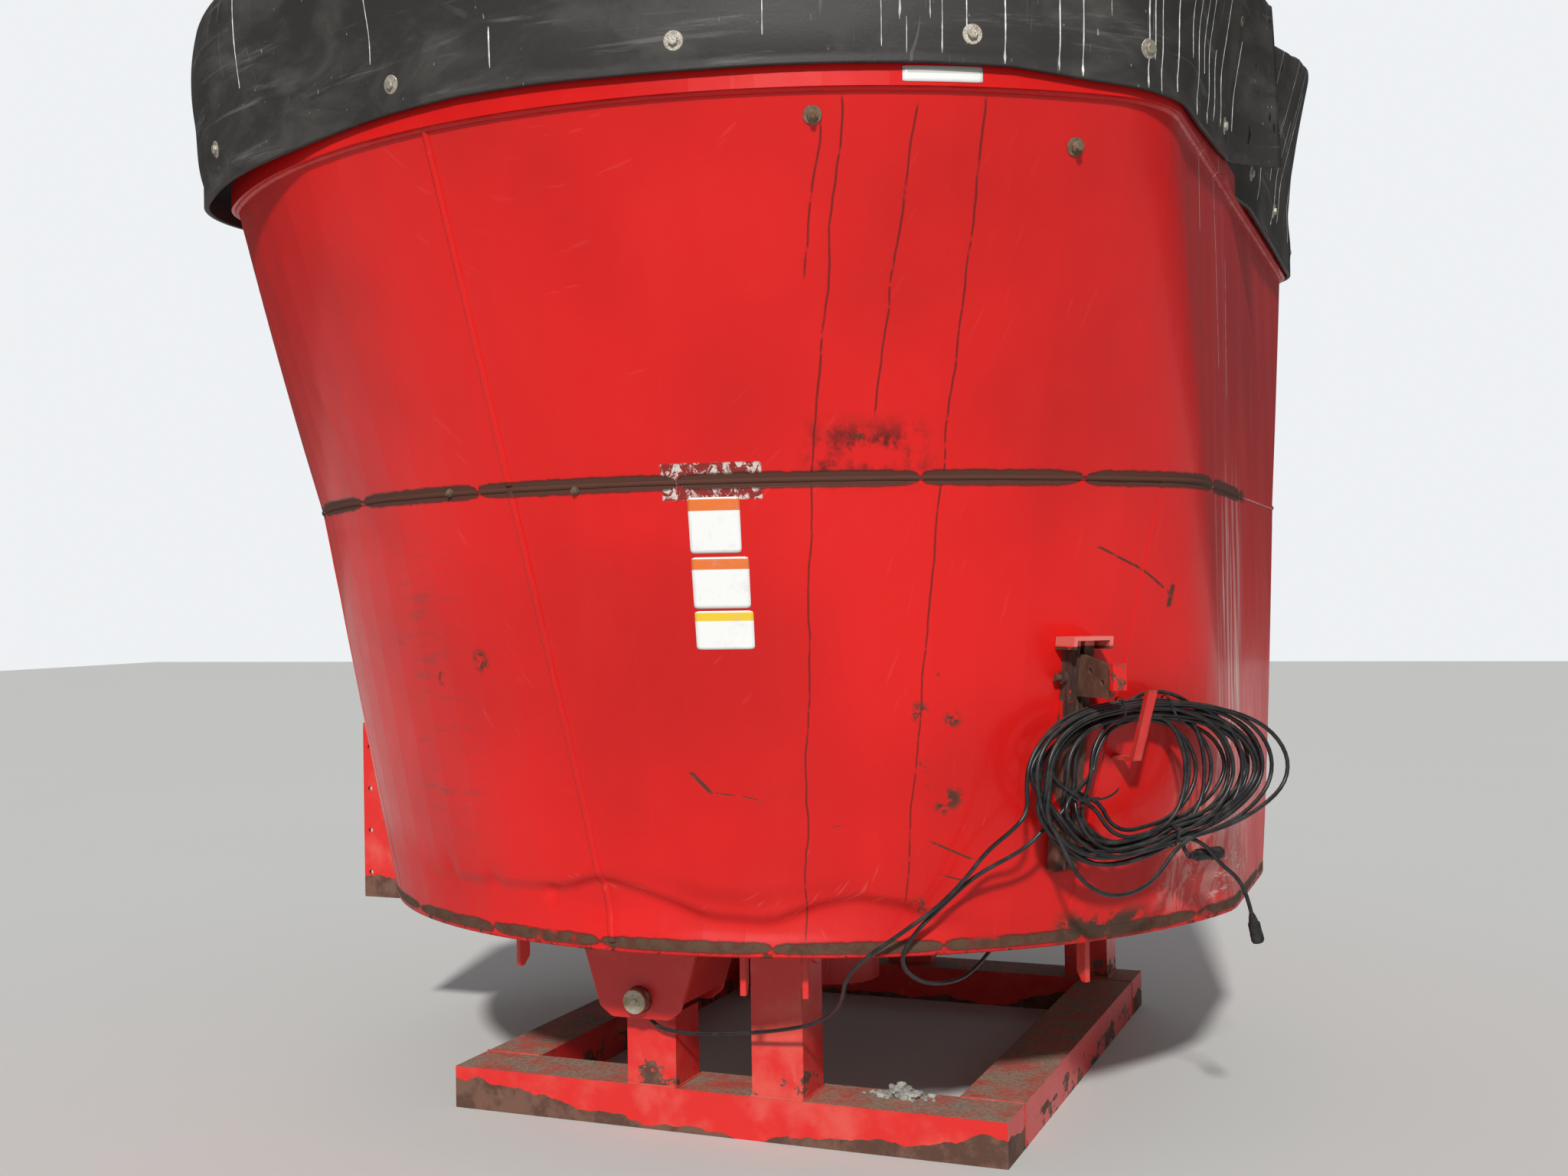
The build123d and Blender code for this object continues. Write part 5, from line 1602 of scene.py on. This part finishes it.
def zipTie(centre, along, radii, length, rising, turning):
    # a strap round a bundle that runs the way along, its lock, and a curved tail
    second = along.cross(hookOut).normalized()
    half, thick, steps = tieValues["wide"] / 2, tieValues["thick"], tieValues["steps"]
    strap, block, tail = [], [], []
    for index in range(tieValues["around"]):
        turn = 2 * pi * index / tieValues["around"]
        ray = hookOut * cos(turn) * radii[0] + second * sin(turn) * radii[1]
        section = ((-half, 0), (-half * 0.8, thick), (half * 0.8, thick), (half, 0))
        strap.append([centre + ray + ray.normalized() * up + along * side for side, up in section])
    lockAt = centre + hookOut * (radii[0] + thick * 0.5)
    for up, grow in ((-0.0006, 0.92), (0.001, 1.0), (0.0035, 1.0), (0.0043, 0.8)):
        x, y, middle = along * (0.0036 * grow), second * (0.0034 * grow), lockAt + hookOut * up
        block.append([middle - x - y, middle + x - y, middle + x + y, middle - x + y])
    for index in range(steps + 1):
        share = index / steps
        ahead = second * cos(turning * share) + along * sin(turning * share)
        spot = lockAt + hookOut * (0.002 + 0.010 * sin(share * 2.2)) + ahead * length * share
        spot += lift * rising * share * share
        side = ahead.cross(hookOut).normalized() * (1.0 if index < steps - 1 else 0.55)
        section = ((-half, 0), (-half, thick), (half, thick), (half, 0))
        tail.append([spot + side * across + hookOut * up for across, up in section])
    return [joinRings(strap, closedAlong=True), joinRings(block), joinRings(tail)]


ties = []
for across, z, along, radii, *tail in (
    (-0.139, 0.826, lift, (0.016, 0.030), 0.070, -0.012, 0.5),
    (0.083, 0.733, hookSide, (0.017, 0.022), -0.075, -0.030, 0.7),
    (-0.051, 1.016, hookSide, (0.014, 0.015), 0.055, 0.006, -0.6),
    (0.071, 1.014, hookSide, (0.014, 0.015), 0.060, -0.010, 0.8),
):
    ties += zipTie(beside(nearRadius, across, z), along, radii, *tail)
meshPiece("cable_zip_ties", *gather(ties), sharp=0.7, slot="plug_plastic", material=plastics["tie_black"])

# Grit that lies on the front beam
gritValues = {
    "count": 190,
    "middle": (0.425, -0.676),
    "spread": (0.082, 0.026),
    "high": 0.030,
    "size": (0.0035, 0.0105),
    "seed": 6,
}


def pebble(place, size, rough):
    build = bmesh.new()
    bmesh.ops.create_icosphere(build, subdivisions=1, radius=1.0)
    scale = Vector([size * rough.uniform(*span) for span in ((0.7, 1.2), (0.7, 1.2), (0.5, 0.8))])
    turn = Matrix.Rotation(rough.uniform(0, 6.28), 3, "Z") @ Matrix.Rotation(rough.uniform(-0.6, 0.6), 3, "X")
    shift = Vector([rough.uniform(0, 9) for _ in range(3)])
    points = []
    for v in build.verts:
        bent = v.co * (1.0 + 0.28 * noise.noise(v.co * 1.3 + shift))
        points.append(Vector(place) + turn @ (bent * scale))
    faces = [tuple(v.index for v in face.verts) for face in build.faces]
    build.free()
    return points, faces


rough = random.Random(gritValues["seed"])
grains = []
for index in range(gritValues["count"]):
    away = abs(rough.gauss(0, 0.5))
    turn = rough.uniform(0, 2 * pi)
    x = gritValues["middle"][0] + away * cos(turn) * gritValues["spread"][0]
    y = gritValues["middle"][1] + away * sin(turn) * gritValues["spread"][1]
    size = rough.uniform(*gritValues["size"]) * (1.0 if away < 1 else 0.7)
    z = tubeTop + size * 0.35 + rough.random() * gritValues["high"] * max(0.0, 1 - away * 1.4)
    grains.append(pebble((x, y, z), size, rough))
meshPiece("beam_grit", *gather(grains), sharp=0.4, slot="red", material=plastics["grey_stone"])
print("small pieces made")

# Floor, backdrop and light
stageValues = {
    "half": 26.0,
    "floor": (0.62, 0.61, 0.58),
    "world": (0.80, 0.86, 0.92),
    "worldStrength": 0.42,
    "mirrored": 0.26,
    "backdrop": (0.86, 0.88, 0.90),
    "sunFrom": (0.22, -0.80, 0.56),
    "sunStrength": 3.35,
    "sunSoft": radians(4),
}


def makeFloor(values):
    half = values["half"]
    data = bpy.data.meshes.new("studio_floor")
    corners = [(-half, -half, 0), (half, -half, 0), (half, half, 0), (-half, half, 0)]
    data.from_pydata(corners, [], [(0, 1, 2, 3)])
    floor = bpy.data.objects.new("studio_floor", data)
    bpy.context.scene.collection.objects.link(floor)
    made, shader, spot = newMaterial("studio_floor", Roughness=0.85)
    feedAll(shader, Base_Color=tint(grain(spot, 0.6, 3.0) * 0.12, values["floor"], (0.50, 0.49, 0.46)))
    data.materials.append(made)
    floor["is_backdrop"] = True


def makeWorld(values):
    world = bpy.data.worlds.new("studio")
    bpy.context.scene.world = world
    world.use_nodes = True
    tree = world.node_tree
    tree.nodes.clear()
    z = partsOf(Wire(addNode(tree, "TexCoord").outputs["Generated"]))[2]
    rays = addNode(tree, "LightPath").outputs
    seen, glossy = Wire(rays["Is Camera Ray"]), Wire(rays["Is Glossy Ray"])
    strength = values["worldStrength"]
    strength = between(glossy, strength, strength * values["mirrored"])
    sky = tint(rise(z, -0.05, 0.55), (0.62, 0.62, 0.60), values["world"])
    light = addNode(tree, "Background", sky, strength)
    shown = addNode(tree, "Background", values["backdrop"])
    both = addNode(tree, "MixShader", seen, Wire(light.outputs[0]), Wire(shown.outputs[0]))
    addNode(tree, "OutputWorld", Wire(both.outputs[0]))


def makeSun(values):
    data = bpy.data.lights.new("sun", "SUN")
    data.energy = values["sunStrength"]
    data.angle = values["sunSoft"]
    sun = bpy.data.objects.new("sun", data)
    sun.rotation_euler = Vector(values["sunFrom"]).to_track_quat("Z", "Y").to_euler()
    bpy.context.scene.collection.objects.link(sun)


makeFloor(stageValues)
makeWorld(stageValues)
makeSun(stageValues)
bpy.context.scene.view_settings.view_transform = "Standard"
print("stage set")

low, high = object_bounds()
